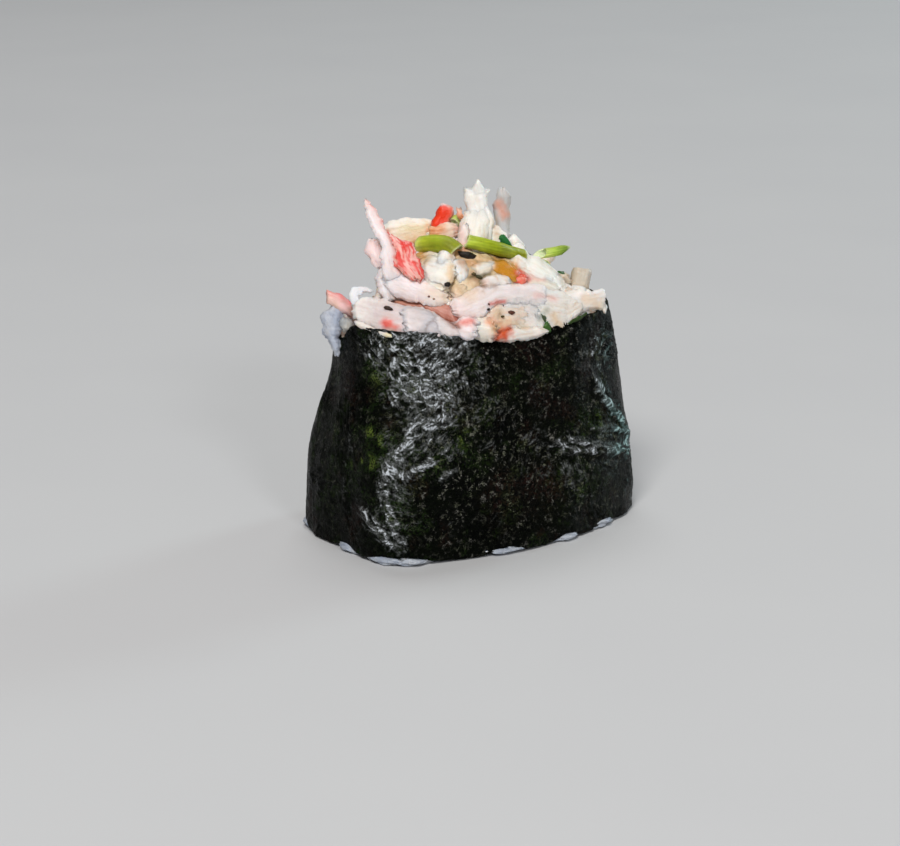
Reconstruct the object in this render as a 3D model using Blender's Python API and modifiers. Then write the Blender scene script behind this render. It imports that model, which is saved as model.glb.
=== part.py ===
"""Crab salad gunkan sushi: a damp nori strip wound round a block of pressed rice, topped with a heap of
shredded crab stick.

Frame: metres, +Z up, origin on the floor at the centre of the rice's flat underside. +X runs along the long
side, to the end where the heap slopes away; -Y is the long side that is shown to the viewer.
Sizes below are in millimetres and are scaled once, by MM.
"""

import math

import bmesh
import bpy
import numpy as np
from mathutils import Matrix, Vector

MM = 0.001

# ---------------------------------------------------------------- driving sizes, in mm
BASE_A, BASE_B = 26.3, 17.5  # half length and half width over the nori at the floor
RIM_A, RIM_B = 21.6, 13.4  # the same at the rim
BASE_SHIFT, RIM_SHIFT = (-0.35, -0.75), (0.25, 0.0)  # where the middles of the two lie
PLAN_POWER = 2.6  # superellipse power of the plan: 2 is an ellipse
# The hand-pressed foot of the band leaves that plan: angle round the plan in degrees, width in degrees, and how far out
BASE_BULGES = [(-146, 15, 1.8), (-38, 22, -1.6), (-102, 16, 0.6), (-171, 10, -0.8), (178, 26, -0.9), (130, 16, 0.8), (35, 18, 0.6)]
RIM_Z = 33.0  # mean height of the nori's top edge
HEM_Z = 0.35  # height of its lower edge above the floor
NORI_T = 0.40  # thickness of the damp sheet
LAP_STEP = 0.60  # how far the outer end stands off the inner one
LAP_START, LAP_DEG = 78.0, 42.0  # where the inner end lies, and how far the outer end laps past it
GAP = 0.50  # air kept between touching solids
RICE_TOP = 25.0  # the rice fills the band to here, and the salad fills the rest
SALAD_FLOOR = 27.0
AROUND = 72  # facets round the plan
GRAIN = (2.7, 1.25, 0.60)  # half sizes of a grain squashed flat under the hem

# Rice grains that squeeze out under the hem: angle round the plan in degrees, and turn from the wall's direction
HEM_GRAINS = [(-169, 4), (-152, -12), (-142, 10), (-105, 6), (-71, -8), (-44, 5), (12, 9), (48, -7), (88, 5), (123, -10), (158, 8)]
HEM_LIFT = 0.9  # the hem rises by this over each of them
SPILL_DEG = 171.0  # the rice also stands above the rim here, at the left end, where the band dips
SPILL_DIP = 6.0
# The grains there: out along the plan from the rim and along the rim, height, half sizes, and lean in degrees
SPILL_GRAINS = [(-0.1, 0.0, 31.4, (1.25, 1.35, 3.5), -6), (-1.7, 0.3, 31.6, (1.8, 1.5, 2.6), 20)]

# The heap's packed core: how far it reaches to either side of the middle along x and y, where it starts, and its crest
HEAP_X, HEAP_Y = (-15.0, 20.0), (-12.2, 12.2)
HEAP_FOOT, CREST_Z = 32.8, 44.7
CREST_FALL = [(-3, 12, 5.6), (9, 17, 2.4)]  # the crest falls away to the right: from x, to x, and by how much

# The heap's main shreds and lumps: start, end, width, thickness, the way its broad side faces, and bow of its middle
CAM = (-0.5, -0.8, 0.3)  # towards the viewer
UP = (0, 0, 1)
SHREDS = [
    ("left_tall", (-16.2, -4.4, 40.0), (-16.9, 2.2, 50.4), 2.5, 1.3, CAM, 0.4),
    ("left_knob", (-16.4, 1.8, 40.4), (-16.6, 3.4, 44.2), 2.8, 2.6, CAM, 0.0),
    ("curled_sheet", (-17.2, -2.0, 39.8), (-8.8, -9.2, 38.9), 6.0, 1.8, (-0.5, -0.8, 0.25), 1.0),
    ("red_skin", (-15.0, -3.2, 44.0), (-12.9, -6.6, 39.9), 2.8, 1.0, (-0.45, -0.85, 0.3), 0.3),
    ("back_fan", (-11.6, 5.9, 43.2), (-4.6, 2.0, 43.2), 4.8, 1.5, (-0.45, -0.7, 0.6), 1.2),
    ("top_red", (-4.7, 1.2, 45.2), (-3.9, 1.4, 48.6), 2.6, 2.2, CAM, 0.0),
    ("top_tall", (-2.8, -4.2, 42.0), (0.1, -1.2, 52.6), 4.0, 2.4, CAM, 0.0),
    ("top_lump", (0.2, -4.6, 43.4), (3.2, -4.8, 44.6), 2.8, 2.4, UP, 0.3),
    ("back_tall", (4.6, -0.9, 41.5), (5.4, 0.2, 50.6), 2.5, 1.3, CAM, 0.0),
    ("right_slab", (2.0, -6.6, 43.0), (11.8, -8.6, 37.2), 5.4, 2.0, (0.1, -0.7, 0.7), 0.8),
    ("right_block", (13.0, 1.0, 36.0), (18.2, -3.6, 36.3), 3.1, 3.0, UP, 0.0),
    ("front_long", (-8.2, -10.2, 37.2), (7.2, -10.7, 36.6), 3.4, 2.2, (-0.2, -0.8, 0.6), 0.8),
    ("front_fold", (4.4, -11.5, 35.4), (11.6, -10.6, 34.4), 3.8, 1.8, (0, -0.8, 0.6), 0.3),
    ("right_end", (10.5, -9.3, 35.6), (17.5, -9.7, 34.6), 3.3, 3.0, UP, 0.2),
    ("front_sheet", (-1.6, -11.9, 35.2), (4.6, -12.0, 33.8), 3.6, 1.4, (0, -0.9, 0.4), 0.3),
    ("front_lip", (-2.0, -12.2, 32.7), (5.0, -12.0, 32.6), 1.9, 1.6, (0, -0.9, 0.4), 0.3),
    ("mottled", (-5.2, -11.5, 34.9), (-1.0, -11.8, 34.9), 3.4, 2.0, (-0.2, -0.9, 0.4), 0.2),
    ("red_chip", (-3.9, -12.3, 32.8), (-1.9, -12.4, 32.6), 1.9, 1.6, (0, -0.9, 0.4), 0.0),
    ("front_chunk", (-7.0, -11.8, 33.2), (-4.4, -12.1, 33.1), 3.2, 2.2, (-0.2, -0.9, 0.4), 0.0),
    ("ring_end", (-9.2, -11.2, 34.1), (-7.2, -11.6, 33.9), 1.6, 1.6, (-0.3, -0.9, 0.4), 0.0),
    ("left_front", (-17.8, -6.2, 35.6), (-7.2, -12.0, 33.4), 4.0, 2.0, (-0.5, -0.75, 0.4), 0.9),
    ("left_chunk", (-20.0, 0.9, 37.0), (-16.6, -6.6, 35.2), 4.0, 2.6, (-0.7, -0.4, 0.5), 0.3),
    ("left_low", (-20.2, -0.9, 34.9), (-18.0, -7.0, 34.1), 1.3, 1.0, (-0.8, -0.4, 0.5), 0.1),
    ("pink_tip", (-21.6, 4.1, 36.8), (-18.8, 1.6, 35.8), 2.4, 1.9, (-0.7, -0.3, 0.6), 0.0),
    ("lump_a", (-8.8, -6.3, 41.0), (-8.5, -6.0, 44.0), 2.5, 2.2, CAM, 0.0),
    ("lump_b", (-7.9, -7.7, 42.0), (-6.4, -8.4, 40.2), 2.6, 2.2, CAM, 0.0),
    ("lump_c", (-12.2, -5.6, 41.4), (-9.6, -7.0, 41.0), 3.2, 2.2, CAM, 0.0),
    ("lump_d", (-4.4, -9.4, 39.6), (-0.4, -9.9, 39.2), 2.4, 2.2, CAM, 0.0),
    ("lump_e", (-1.2, -9.0, 40.6), (1.6, -9.2, 39.8), 2.8, 2.2, CAM, 0.0),
]

# Shreds over the top and the far side, laid by rule: how many, and the smallest and largest of each size
FILL_SEED = 11
FILL_COUNT = 84
COLLAR = (-35, 150, 12)  # shreds that lie along the rim: from this angle, to this angle, and how many
FILL_LENGTH, FILL_WIDTH, FILL_THICK = (5.5, 10.5), (1.8, 3.4), (1.1, 1.9)

# ---------------------------------------------------------------- shape of the band and the heap


def smooth(a, b, x):
    t = min(1.0, max(0.0, (x - a) / (b - a)))
    return t * t * (3 - 2 * t)


def bell(deg, centre, width):
    """1 at centre, falling off over width, in degrees round the plan."""
    d = (deg - centre + 180.0) % 360.0 - 180.0
    return math.exp(-((d / width) ** 2))


def taper(deg, h):
    """0 at the floor, 1 at the rim. The left end stays full to mid height and then leans in."""
    left = smooth(-0.2, 0.9, -math.cos(math.radians(deg)))
    return (1 - left) * max(0.0, h) ** 1.25 + left * smooth(0.28, 0.88, h)


def wall(deg, h, off=0.0):
    """(x, y) on the nori's outer face at angle deg and height share h, moved outwards by off."""
    t = taper(deg, h)
    a = BASE_A + (RIM_A - BASE_A) * t + off
    b = BASE_B + (RIM_B - BASE_B) * t + off
    c, s = math.cos(math.radians(deg)), math.sin(math.radians(deg))
    r = (abs(c / a) ** PLAN_POWER + abs(s / b) ** PLAN_POWER) ** (-1 / PLAN_POWER)
    r += (1 - t) * sum(out * bell(deg, at, width) for at, width, out in BASE_BULGES)
    r += 0.28 * math.sin(math.radians(3 * deg) + 5 * h + 0.6) * math.sin(math.pi * min(1, max(0, h)))
    x0 = BASE_SHIFT[0] + (RIM_SHIFT[0] - BASE_SHIFT[0]) * t
    y0 = BASE_SHIFT[1] + (RIM_SHIFT[1] - BASE_SHIFT[1]) * t
    return x0 + r * c, y0 + r * s


def rim_z(deg):
    z = RIM_Z + 0.8 * bell(deg, 180, 42) - 2.0 * bell(deg, -92, 44) - 0.7 * bell(deg, 95, 45)
    z += 0.25 * math.sin(math.radians(5 * deg) + 0.8)
    return z - SPILL_DIP * bell(deg, SPILL_DEG, 9)


def hem_z(deg):
    return HEM_Z + sum(HEM_LIFT * bell(deg, at, 6) for at, _ in HEM_GRAINS)


def crest_z(x):
    return CREST_Z - sum(fall * smooth(start, end, x) for start, end, fall in CREST_FALL)


def end_rise(x):
    """How far the rice, and the salad's underside with it, climb towards the left end."""
    return 5.0 * smooth(13.5, 19.5, -x)


def heap_z(x, y):
    """Top of the heap's packed core over the plan."""
    u = x / HEAP_X[x > 0]
    v = y / HEAP_Y[y > 0]
    rho = (abs(u) ** 2.9 + abs(v) ** 2.3) ** (1 / 2.6)
    return HEAP_FOOT + (crest_z(x) - HEAP_FOOT) * max(0.0, 1 - rho**2.2) ** 0.60


def heap_normal(x, y, e=0.3):
    dx = (heap_z(x + e, y) - heap_z(x - e, y)) / (2 * e)
    dy = (heap_z(x, y + e) - heap_z(x, y - e)) / (2 * e)
    return Vector((-dx, -dy, 1)).normalized()


# ---------------------------------------------------------------- strips, grains and lumps as closed solids


def clear_scene():
    for ob in list(bpy.data.objects):
        bpy.data.objects.remove(ob, do_unlink=True)


def collection(name):
    made = bpy.data.collections.new(name)
    bpy.context.scene.collection.children.link(made)
    return made


def material(name, colour, roughness):
    m = bpy.data.materials.new(name)
    m.use_nodes = True
    p = m.node_tree.nodes["Principled BSDF"]
    p.inputs["Base Color"].default_value = (*colour, 1)
    p.inputs["Roughness"].default_value = roughness
    p.inputs["Metallic"].default_value = 0.0
    m.diffuse_color = (*colour, 1)
    return m


def object_from(bm, name, where):
    mesh = bpy.data.meshes.new(name)
    bmesh.ops.recalc_face_normals(bm, faces=bm.faces)
    bm.to_mesh(mesh)
    bm.free()
    ob = bpy.data.objects.new(name, mesh)
    where.objects.link(ob)
    return ob


def evaluated(ob):
    """The object's mesh with its modifiers, as a new mesh."""
    dg = bpy.context.evaluated_depsgraph_get()
    return bpy.data.meshes.new_from_object(ob.evaluated_get(dg), depsgraph=dg)


def settle(ob):
    """Applies the object's modifiers and keeps only its largest connected shell."""
    mesh = evaluated(ob)
    ob.modifiers.clear()
    ob.data = mesh
    bm = bmesh.new()
    bm.from_mesh(mesh)
    bmesh.ops.remove_doubles(bm, verts=bm.verts, dist=0.00001)
    unseen, shells = set(bm.verts), []
    while unseen:
        first = unseen.pop()
        shell, stack = [first], [first]
        while stack:
            for edge in stack.pop().link_edges:
                for v in edge.verts:
                    if v in unseen:
                        unseen.discard(v)
                        shell.append(v)
                        stack.append(v)
        shells.append(shell)
    shells.sort(key=len, reverse=True)
    loose = [v for shell in shells[1:] for v in shell]
    if loose:
        bmesh.ops.delete(bm, geom=loose, context="VERTS")
    bmesh.ops.triangulate(bm, faces=bm.faces)
    bm.to_mesh(mesh)
    bm.free()


def boolean(ob, other, operation):
    mod = ob.modifiers.new(operation.lower(), "BOOLEAN")
    mod.operation = operation
    mod.solver = "EXACT"
    mod.object = other
    return mod


def fuse(ob, voxel):
    """Joins everything in the mesh into one skin, on a grid of this size in mm."""
    mod = ob.modifiers.new("fuse", "REMESH")
    mod.mode = "VOXEL"
    mod.voxel_size = voxel * MM
    mod.adaptivity = 0.0
    settle(ob)


def thin_out(ob, triangles):
    mod = ob.modifiers.new("thin", "DECIMATE")
    mod.ratio = min(1.0, triangles / len(ob.data.polygons))
    settle(ob)


def as_cutter(ob):
    ob.hide_render = True
    ob.display_type = "WIRE"
    return ob


def lathe_like(name, rings, where):
    """A closed solid from a tube of create_grid, each row of which is one ring (a list of points in mm), with its ends capped."""
    around, up = len(rings[0]), len(rings)
    bm = bmesh.new()
    bmesh.ops.create_grid(bm, x_segments=around, y_segments=up - 1, size=1)
    for v in bm.verts:
        i = round((v.co.x + 1) / 2 * around) % around
        j = round((v.co.y + 1) / 2 * (up - 1))
        v.co = Vector(rings[j][i]) * MM
    bmesh.ops.remove_doubles(bm, verts=bm.verts, dist=0.000001)
    ends = [e for e in bm.edges if e.is_boundary]
    bmesh.ops.holes_fill(bm, edges=ends, sides=0)
    return object_from(bm, name, where)


def bar(bm, start, end, width, thick, face, bow, steps=5):
    """Adds one shred: a cube, cut along its length and bent, with narrowed ends. All sizes in mm."""
    p0, p1, n = Vector(start), Vector(end), Vector(face).normalized()
    along = p1 - p0
    side = along.cross(n).normalized()
    n = side.cross(along).normalized()
    before = len(bm.verts)
    made = bmesh.ops.create_cube(bm, size=1)["verts"]
    edges = {e for v in made for e in v.link_edges if abs(e.verts[0].co.x - e.verts[1].co.x) > 0.5}
    bmesh.ops.subdivide_edges(bm, edges=list(edges), cuts=steps - 1, use_grid_fill=True)
    bm.verts.ensure_lookup_table()
    for v in bm.verts[before:]:
        t = v.co.x + 0.5
        belly = math.sin(math.pi * min(0.97, max(0.03, t)))
        w = width * (0.72 + 0.28 * belly)
        p = p0 + along * t + n * (bow * math.sin(math.pi * t)) + side * (v.co.y * w) + n * (v.co.z * thick)
        v.co = p * MM


def egg(bm, centre, half, turn):
    """Adds one grain: an icosphere, stretched and turned. All sizes in mm."""
    m = Matrix.Translation(Vector(centre) * MM) @ turn @ Matrix.Diagonal(Vector(half) * MM).to_4x4()
    bmesh.ops.create_icosphere(bm, subdivisions=2, radius=1, matrix=m)


# ---------------------------------------------------------------- the pieces


def make_nori(where):
    """The strip: a grid wound once round the plan and lapped over its own start, then thickened outwards."""
    around, up = 84, 8
    total = 360.0 + LAP_DEG
    bm = bmesh.new()
    bmesh.ops.create_grid(bm, x_segments=around, y_segments=up, size=1)
    for v in bm.verts:
        w = (v.co.x + 1) / 2 * total
        h = (v.co.y + 1) / 2
        deg = LAP_START + w
        step = LAP_STEP * smooth(360 - 42, 360 - 4, w)
        x, y = wall(deg, h, step - NORI_T)
        low, high = hem_z(deg), rim_z(deg)
        v.co = Vector((x, y, low + (high - low) * h)) * MM
    ob = object_from(bm, "nori_band", where)
    # the sheet's faces point outwards, so that it thickens away from the rice
    bm = bmesh.new()
    bm.from_mesh(ob.data)
    if sum(f.normal.dot(Vector((f.calc_center_median().x, f.calc_center_median().y, 0))) for f in bm.faces) < 0:
        bmesh.ops.reverse_faces(bm, faces=bm.faces)
    bm.to_mesh(ob.data)
    bm.free()
    mod = ob.modifiers.new("sheet", "SOLIDIFY")
    mod.thickness = NORI_T * MM
    mod.offset = 1.0
    mod.use_even_offset = True
    return ob


def spill_grain(bm, number, air=0.0):
    out, along, z, half, lean = SPILL_GRAINS[number]
    x, y = wall(SPILL_DEG, 1.0, 0.0)
    egg(bm, (x - out, y + along, z), [h + air for h in half], Matrix.Rotation(math.radians(lean), 4, "Y"))


def make_band_cutter(where):
    """The space the nori takes, with the air gap round it: a ring that rice and salad are cut by."""
    around = AROUND
    inner, outer = -NORI_T - GAP, LAP_STEP + GAP
    rows = [(inner, -0.05), (inner, 0.25), (inner, 0.5), (inner, 0.75), (inner, 1.0), (outer, 1.0), (outer, 0.75), (outer, 0.5), (outer, 0.25), (outer, -0.05)]
    bm = bmesh.new()
    bmesh.ops.create_grid(bm, x_segments=around, y_segments=len(rows), size=1)
    for v in bm.verts:
        i = round((v.co.x + 1) / 2 * around) % around
        off, h = rows[round((v.co.y + 1) / 2 * len(rows)) % len(rows)]
        deg = 360.0 * i / around
        x, y = wall(deg, h, off)
        low, high = hem_z(deg) - GAP, rim_z(deg) + GAP
        z = low if h < 0 else low + (high - low) * h
        v.co = Vector((x, y, z)) * MM
    bmesh.ops.remove_doubles(bm, verts=bm.verts, dist=0.000001)
    return as_cutter(object_from(bm, "band_space", where))


def make_rice(where, cutters, band):
    """Pressed rice: a block inside the band with a flat underside, grains squeezed out under the hem, and the grains that stand over the rim at the left end."""
    around = AROUND
    rings = []
    side = -NORI_T - GAP - 0.15
    for z, off in ((0.0, side - 0.3), (0.7, side), (6, side), (12, side), (18, side), (22.5, side), (RICE_TOP, side - 0.6), (RICE_TOP + 1.0, -4.0), (RICE_TOP + 1.2, -8.0)):
        ring = []
        for i in range(around):
            deg = 360.0 * i / around
            h = min(1.0, z / RIM_Z)
            x, y = wall(deg, h, off)
            # towards the left end the rice stands up to the rim
            ring.append((x, y, z + end_rise(x) * smooth(20, RICE_TOP, z)))
        rings.append(ring)
    ob = lathe_like("rice_bed", rings, where)
    bm = bmesh.new()
    for deg, turn in HEM_GRAINS:
        x, y = wall(deg, 0.0, -0.9)
        x2, y2 = wall(deg + 2, 0.0, -0.9)
        x1, y1 = wall(deg - 2, 0.0, -0.9)
        heading = math.atan2(y2 - y1, x2 - x1) + math.radians(turn)
        egg(bm, (x, y, GRAIN[2]), GRAIN, Matrix.Rotation(heading, 4, "Z"))
    for number in range(len(SPILL_GRAINS)):
        spill_grain(bm, number)
    grains = as_cutter(object_from(bm, "grains", cutters))
    boolean(ob, grains, "UNION").use_self = True
    settle(ob)
    boolean(ob, band, "DIFFERENCE")
    settle(ob)
    thin_out(ob, 2200)
    floor = bpy.data.meshes.new("below_floor")
    bm = bmesh.new()
    bmesh.ops.create_cube(bm, size=1, matrix=Matrix.Translation((0, 0, -0.005)) @ Matrix.Diagonal((0.1, 0.1, 0.01, 1)))
    bm.to_mesh(floor)
    bm.free()
    below = as_cutter(bpy.data.objects.new("below_floor", floor))
    cutters.objects.link(below)
    boolean(ob, below, "DIFFERENCE")
    settle(ob)
    return ob


def fill_shreds():
    """Shreds over the crown and the far side, spread by the golden angle and laid flat on the heap."""
    rng = np.random.RandomState(FILL_SEED)
    rows = []
    for i in range(FILL_COUNT):
        angle = i * math.radians(137.508)
        rho = 0.95 * math.sqrt((i + 0.5) / FILL_COUNT)
        x, y = 1.0 + 17.0 * rho * math.cos(angle), 11.4 * rho * math.sin(angle)
        length = rng.uniform(*FILL_LENGTH)
        width = rng.uniform(*FILL_WIDTH)
        thick = rng.uniform(*FILL_THICK)
        heading = rng.uniform(0, math.pi)
        tip = rng.uniform(-0.2, 0.2)
        if -0.53 * x - 0.85 * y > 0.5 or x < -13.5:
            continue  # the main shreds lie here
        n = heap_normal(x, y)
        along = Vector((math.cos(heading), math.sin(heading), 0))
        along = (along - n * along.dot(n)).normalized()
        along = (along + n * tip).normalized()
        centre = Vector((x, y, heap_z(x, y))) + n * 0.1
        for end in (centre - along * length / 2, centre + along * length / 2):
            # an end that would stick out past the rim is drawn in
            reach = ((abs(end.x) / RIM_A) ** 2.4 + (abs(end.y) / RIM_B) ** 2.4) ** (1 / 2.4)
            if reach > 0.93:
                centre -= Vector((end.x, end.y, 0)) * (1 - 0.93 / reach)
        low = min((centre - along * length / 2).z, (centre + along * length / 2).z)
        centre.z += max(0.0, 34.2 - low)
        rows.append((tuple(centre - along * length / 2), tuple(centre + along * length / 2), width, thick, tuple(n), 0.3))
    first, last, count = COLLAR
    for i in range(count):
        deg = first + (last - first) * i / (count - 1)
        x, y = wall(deg, 1.0, rng.uniform(-1.5, -0.9))
        half = rng.uniform(2.0, 3.4)
        turn = math.radians(deg + 90 + rng.uniform(-25, 25))
        along = Vector((math.cos(turn), math.sin(turn), rng.uniform(-0.1, 0.25))) * half
        centre = Vector((x, y, rim_z(deg) + 0.7))
        rows.append((tuple(centre - along), tuple(centre + along), 2.2, 1.8, (math.cos(math.radians(deg)), math.sin(math.radians(deg)), 1.2), 0.4))
    return rows


def make_salad(where, cutters, band):
    """The heap: a packed core that fills the band above the rice, and the shreds on it, fused and then cut clear of nori and rice."""
    around = 64
    rings = []
    for share in (0.2, 0.6, 0.94):
        ring = []
        for i in range(around):
            x, y = wall(360.0 * i / around, 0.85, -0.9)
            ring.append((x * share, y * share, SALAD_FLOOR + 1.1 * end_rise(x * share)))
        rings.append(ring)
    for z in (29.0, 31.0, 34.2):
        ring = []
        for i in range(around):
            x, y = wall(360.0 * i / around, min(1.0, z / RIM_Z), -0.9)
            ring.append((x, y, max(z, SALAD_FLOOR + 1.1 * end_rise(x) + 0.3 * (z - 28))))
        rings.append(ring)
    for share in (0.97, 0.9, 0.8, 0.66, 0.5, 0.33, 0.16):
        ring = []
        for i in range(around):
            x, y = wall(360.0 * i / around, 1.0, -0.9)
            x, y = x * share, y * share
            ring.append((x, y, max(34.2, heap_z(x, y))))
        rings.append(ring)
    ob = lathe_like("crab_salad", rings, where)
    bm = bmesh.new()
    bm.from_mesh(ob.data)
    for _, start, end, width, thick, face, bow in SHREDS:
        bar(bm, start, end, width, thick, face, bow)
    for start, end, width, thick, face, bow in fill_shreds():
        bar(bm, start, end, width, thick, face, bow)
    bmesh.ops.recalc_face_normals(bm, faces=bm.faces)
    bm.to_mesh(ob.data)
    bm.free()
    fuse(ob, 0.6)
    for number in range(len(SPILL_GRAINS)):
        bm = bmesh.new()
        spill_grain(bm, number, GAP)
        boolean(ob, as_cutter(object_from(bm, f"spill_space_{number}", cutters)), "DIFFERENCE")
        settle(ob)
    boolean(ob, band, "DIFFERENCE")
    settle(ob)
    fuse(ob, 0.5)
    thin_out(ob, 4300)
    return ob


clear_scene()
PARTS = collection("crab_salad_gunkan")
CUTTERS = collection("cutters")
band_space = make_band_cutter(CUTTERS)
nori = make_nori(PARTS)
rice = make_rice(PARTS, CUTTERS, band_space)
salad = make_salad(PARTS, CUTTERS, band_space)
nori.data.materials.append(material("nori", (0.012, 0.016, 0.010), 0.38))
rice.data.materials.append(material("rice", (0.82, 0.82, 0.80), 0.45))
salad.data.materials.clear()
salad.data.materials.append(material("crab_salad", (0.86, 0.76, 0.68), 0.38))
for ob in (nori, rice, salad):
    ob.data.shade_smooth()
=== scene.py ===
"""Looks of the crab salad gunkan sushi: nori with painted highlights, pressed rice and a heap of shredded crab salad.

Everything is in millimetres in the part's own frame until it is put into a mesh, where MM turns it into metres.
-Y is the long side that faces the viewer. Random choices are seeded, so each run gives the same piece.
"""

import math

import bpy
import numpy as np
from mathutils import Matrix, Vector


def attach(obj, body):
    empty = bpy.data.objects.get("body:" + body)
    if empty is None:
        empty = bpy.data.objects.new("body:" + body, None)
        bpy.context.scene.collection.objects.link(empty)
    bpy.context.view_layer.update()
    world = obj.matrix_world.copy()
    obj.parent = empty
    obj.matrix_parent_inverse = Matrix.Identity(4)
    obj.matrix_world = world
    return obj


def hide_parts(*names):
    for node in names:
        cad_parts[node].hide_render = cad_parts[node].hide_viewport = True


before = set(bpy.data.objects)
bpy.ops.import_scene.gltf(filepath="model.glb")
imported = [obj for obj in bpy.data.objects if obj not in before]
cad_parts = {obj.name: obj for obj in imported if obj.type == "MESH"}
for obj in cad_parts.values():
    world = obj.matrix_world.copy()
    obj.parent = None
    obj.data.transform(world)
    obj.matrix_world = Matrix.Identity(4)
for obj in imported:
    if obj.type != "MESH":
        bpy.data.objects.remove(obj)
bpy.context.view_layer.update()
MM = 0.001

# ---------------------------------------------------------------- sizes of the part, in mm
BASE_A, BASE_B = 26.3, 17.5  # half length and half width over the nori at the floor
RIM_A, RIM_B = 21.6, 13.4  # the same at the rim
BASE_SHIFT, RIM_SHIFT = (-0.35, -0.75), (0.25, 0.0)
PLAN_POWER = 2.6
BASE_BULGES = [(-146, 15, 1.8), (-38, 22, -1.6), (-102, 16, 0.6), (-171, 10, -0.8), (178, 26, -0.9), (130, 16, 0.8), (35, 18, 0.6)]
RIM_Z, HEM_Z = 33.0, 0.35
NORI_T = 0.40
LAP_STEP, LAP_START, LAP_DEG = 0.60, 78.0, 42.0
GAP = 0.50
RICE_TOP, SALAD_FLOOR = 25.0, 27.0
GRAIN = (2.7, 1.25, 0.60)
HEM_GRAINS = [(-169, 4), (-152, -12), (-142, 10), (-105, 6), (-71, -8), (-44, 5), (12, 9), (48, -7), (88, 5), (123, -10), (158, 8)]
HEM_LIFT = 0.9
SPILL_DEG, SPILL_DIP = 171.0, 3.6
HEAP_X, HEAP_Y = (-15.0, 20.0), (-12.2, 12.2)
HEAP_FOOT, CREST_Z = 32.8, 44.7
CREST_FALL = [(-3, 12, 5.6), (9, 17, 2.4)]


def smooth(a, b, x):
    t = np.clip((np.asarray(x, float) - a) / (b - a), 0, 1)
    return t * t * (3 - 2 * t)


def bell(deg, centre, width):
    """1 at centre, falling off over width, in degrees round the plan."""
    d = (np.asarray(deg, float) - centre + 180.0) % 360.0 - 180.0
    return np.exp(-((d / width) ** 2))


def taper(deg, h):
    left = smooth(-0.2, 0.9, -np.cos(np.radians(deg)))
    return (1 - left) * np.maximum(0.0, h) ** 1.25 + left * smooth(0.28, 0.88, h)


def wall(deg, h, off=0.0):
    """Points on the nori's outer face at angle deg and height share h, moved outwards by off: x, y."""
    deg, h = np.asarray(deg, float), np.asarray(h, float)
    t = taper(deg, h)
    a = BASE_A + (RIM_A - BASE_A) * t + off
    b = BASE_B + (RIM_B - BASE_B) * t + off
    c, s = np.cos(np.radians(deg)), np.sin(np.radians(deg))
    r = (np.abs(c / a) ** PLAN_POWER + np.abs(s / b) ** PLAN_POWER) ** (-1 / PLAN_POWER)
    r = r + (1 - t) * sum(out * bell(deg, at, width) for at, width, out in BASE_BULGES)
    r = r + 0.28 * np.sin(np.radians(3 * deg) + 5 * h + 0.6) * np.sin(np.pi * np.clip(h, 0, 1))
    x0 = BASE_SHIFT[0] + (RIM_SHIFT[0] - BASE_SHIFT[0]) * t
    y0 = BASE_SHIFT[1] + (RIM_SHIFT[1] - BASE_SHIFT[1]) * t
    return x0 + r * c, y0 + r * s


def rim_z(deg):
    z = RIM_Z + 0.8 * bell(deg, 180, 42) - 2.0 * bell(deg, -92, 44) - 0.7 * bell(deg, 95, 45)
    z = z + 0.25 * np.sin(np.radians(5 * np.asarray(deg, float)) + 0.8)
    return z - SPILL_DIP * bell(deg, SPILL_DEG, 9)


def hem_z(deg):
    return HEM_Z + sum(HEM_LIFT * bell(deg, at, 6) for at, _ in HEM_GRAINS)


def heap_z(x, y):
    """Top of the heap's packed core over the plan."""
    x, y = np.asarray(x, float), np.asarray(y, float)
    u = x / np.where(x > 0, HEAP_X[1], HEAP_X[0])
    v = y / np.where(y > 0, HEAP_Y[1], HEAP_Y[0])
    rho = (np.abs(u) ** 2.9 + np.abs(v) ** 2.3) ** (1 / 2.6)
    crest = CREST_Z - sum(fall * smooth(start, end, x) for start, end, fall in CREST_FALL)
    return HEAP_FOOT + (crest - HEAP_FOOT) * np.maximum(0.0, 1 - rho**2.2) ** 0.60


# ---------------------------------------------------------------- noise


def hashed(i, j, k, seed):
    n = (i.astype(np.uint64) * np.uint64(73856093)) ^ (j.astype(np.uint64) * np.uint64(19349663)) ^ (k.astype(np.uint64) * np.uint64(83492791))
    n = (n ^ np.uint64((seed * 2654435761) & 0xFFFFFFFF)) & np.uint64(0xFFFFFFFF)
    n = ((n ^ (n >> np.uint64(15))) * np.uint64(2246822519)) & np.uint64(0xFFFFFFFF)
    n = ((n ^ (n >> np.uint64(13))) * np.uint64(3266489917)) & np.uint64(0xFFFFFFFF)
    return (n ^ (n >> np.uint64(16))).astype(np.int64)


def rough(p, seed=0):
    """Smooth noise of about -1 to 1 at points (..., 3)."""
    p = np.asarray(p, float)
    c = np.floor(p)
    f = p - c
    c = c.astype(np.int64) + 4096
    u = f * f * f * (f * (f * 6 - 15) + 10)
    total = np.zeros(p.shape[:-1])
    for dx in (0, 1):
        for dy in (0, 1):
            for dz in (0, 1):
                n = hashed(c[..., 0] + dx, c[..., 1] + dy, c[..., 2] + dz, seed)
                g = ((n & 1023) / 511.5 - 1) * (f[..., 0] - dx) + (((n >> 10) & 1023) / 511.5 - 1) * (f[..., 1] - dy) + (((n >> 20) & 1023) / 511.5 - 1) * (f[..., 2] - dz)
                w = (u[..., 0] if dx else 1 - u[..., 0]) * (u[..., 1] if dy else 1 - u[..., 1]) * (u[..., 2] if dz else 1 - u[..., 2])
                total += w * g
    return total * 1.7


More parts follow.
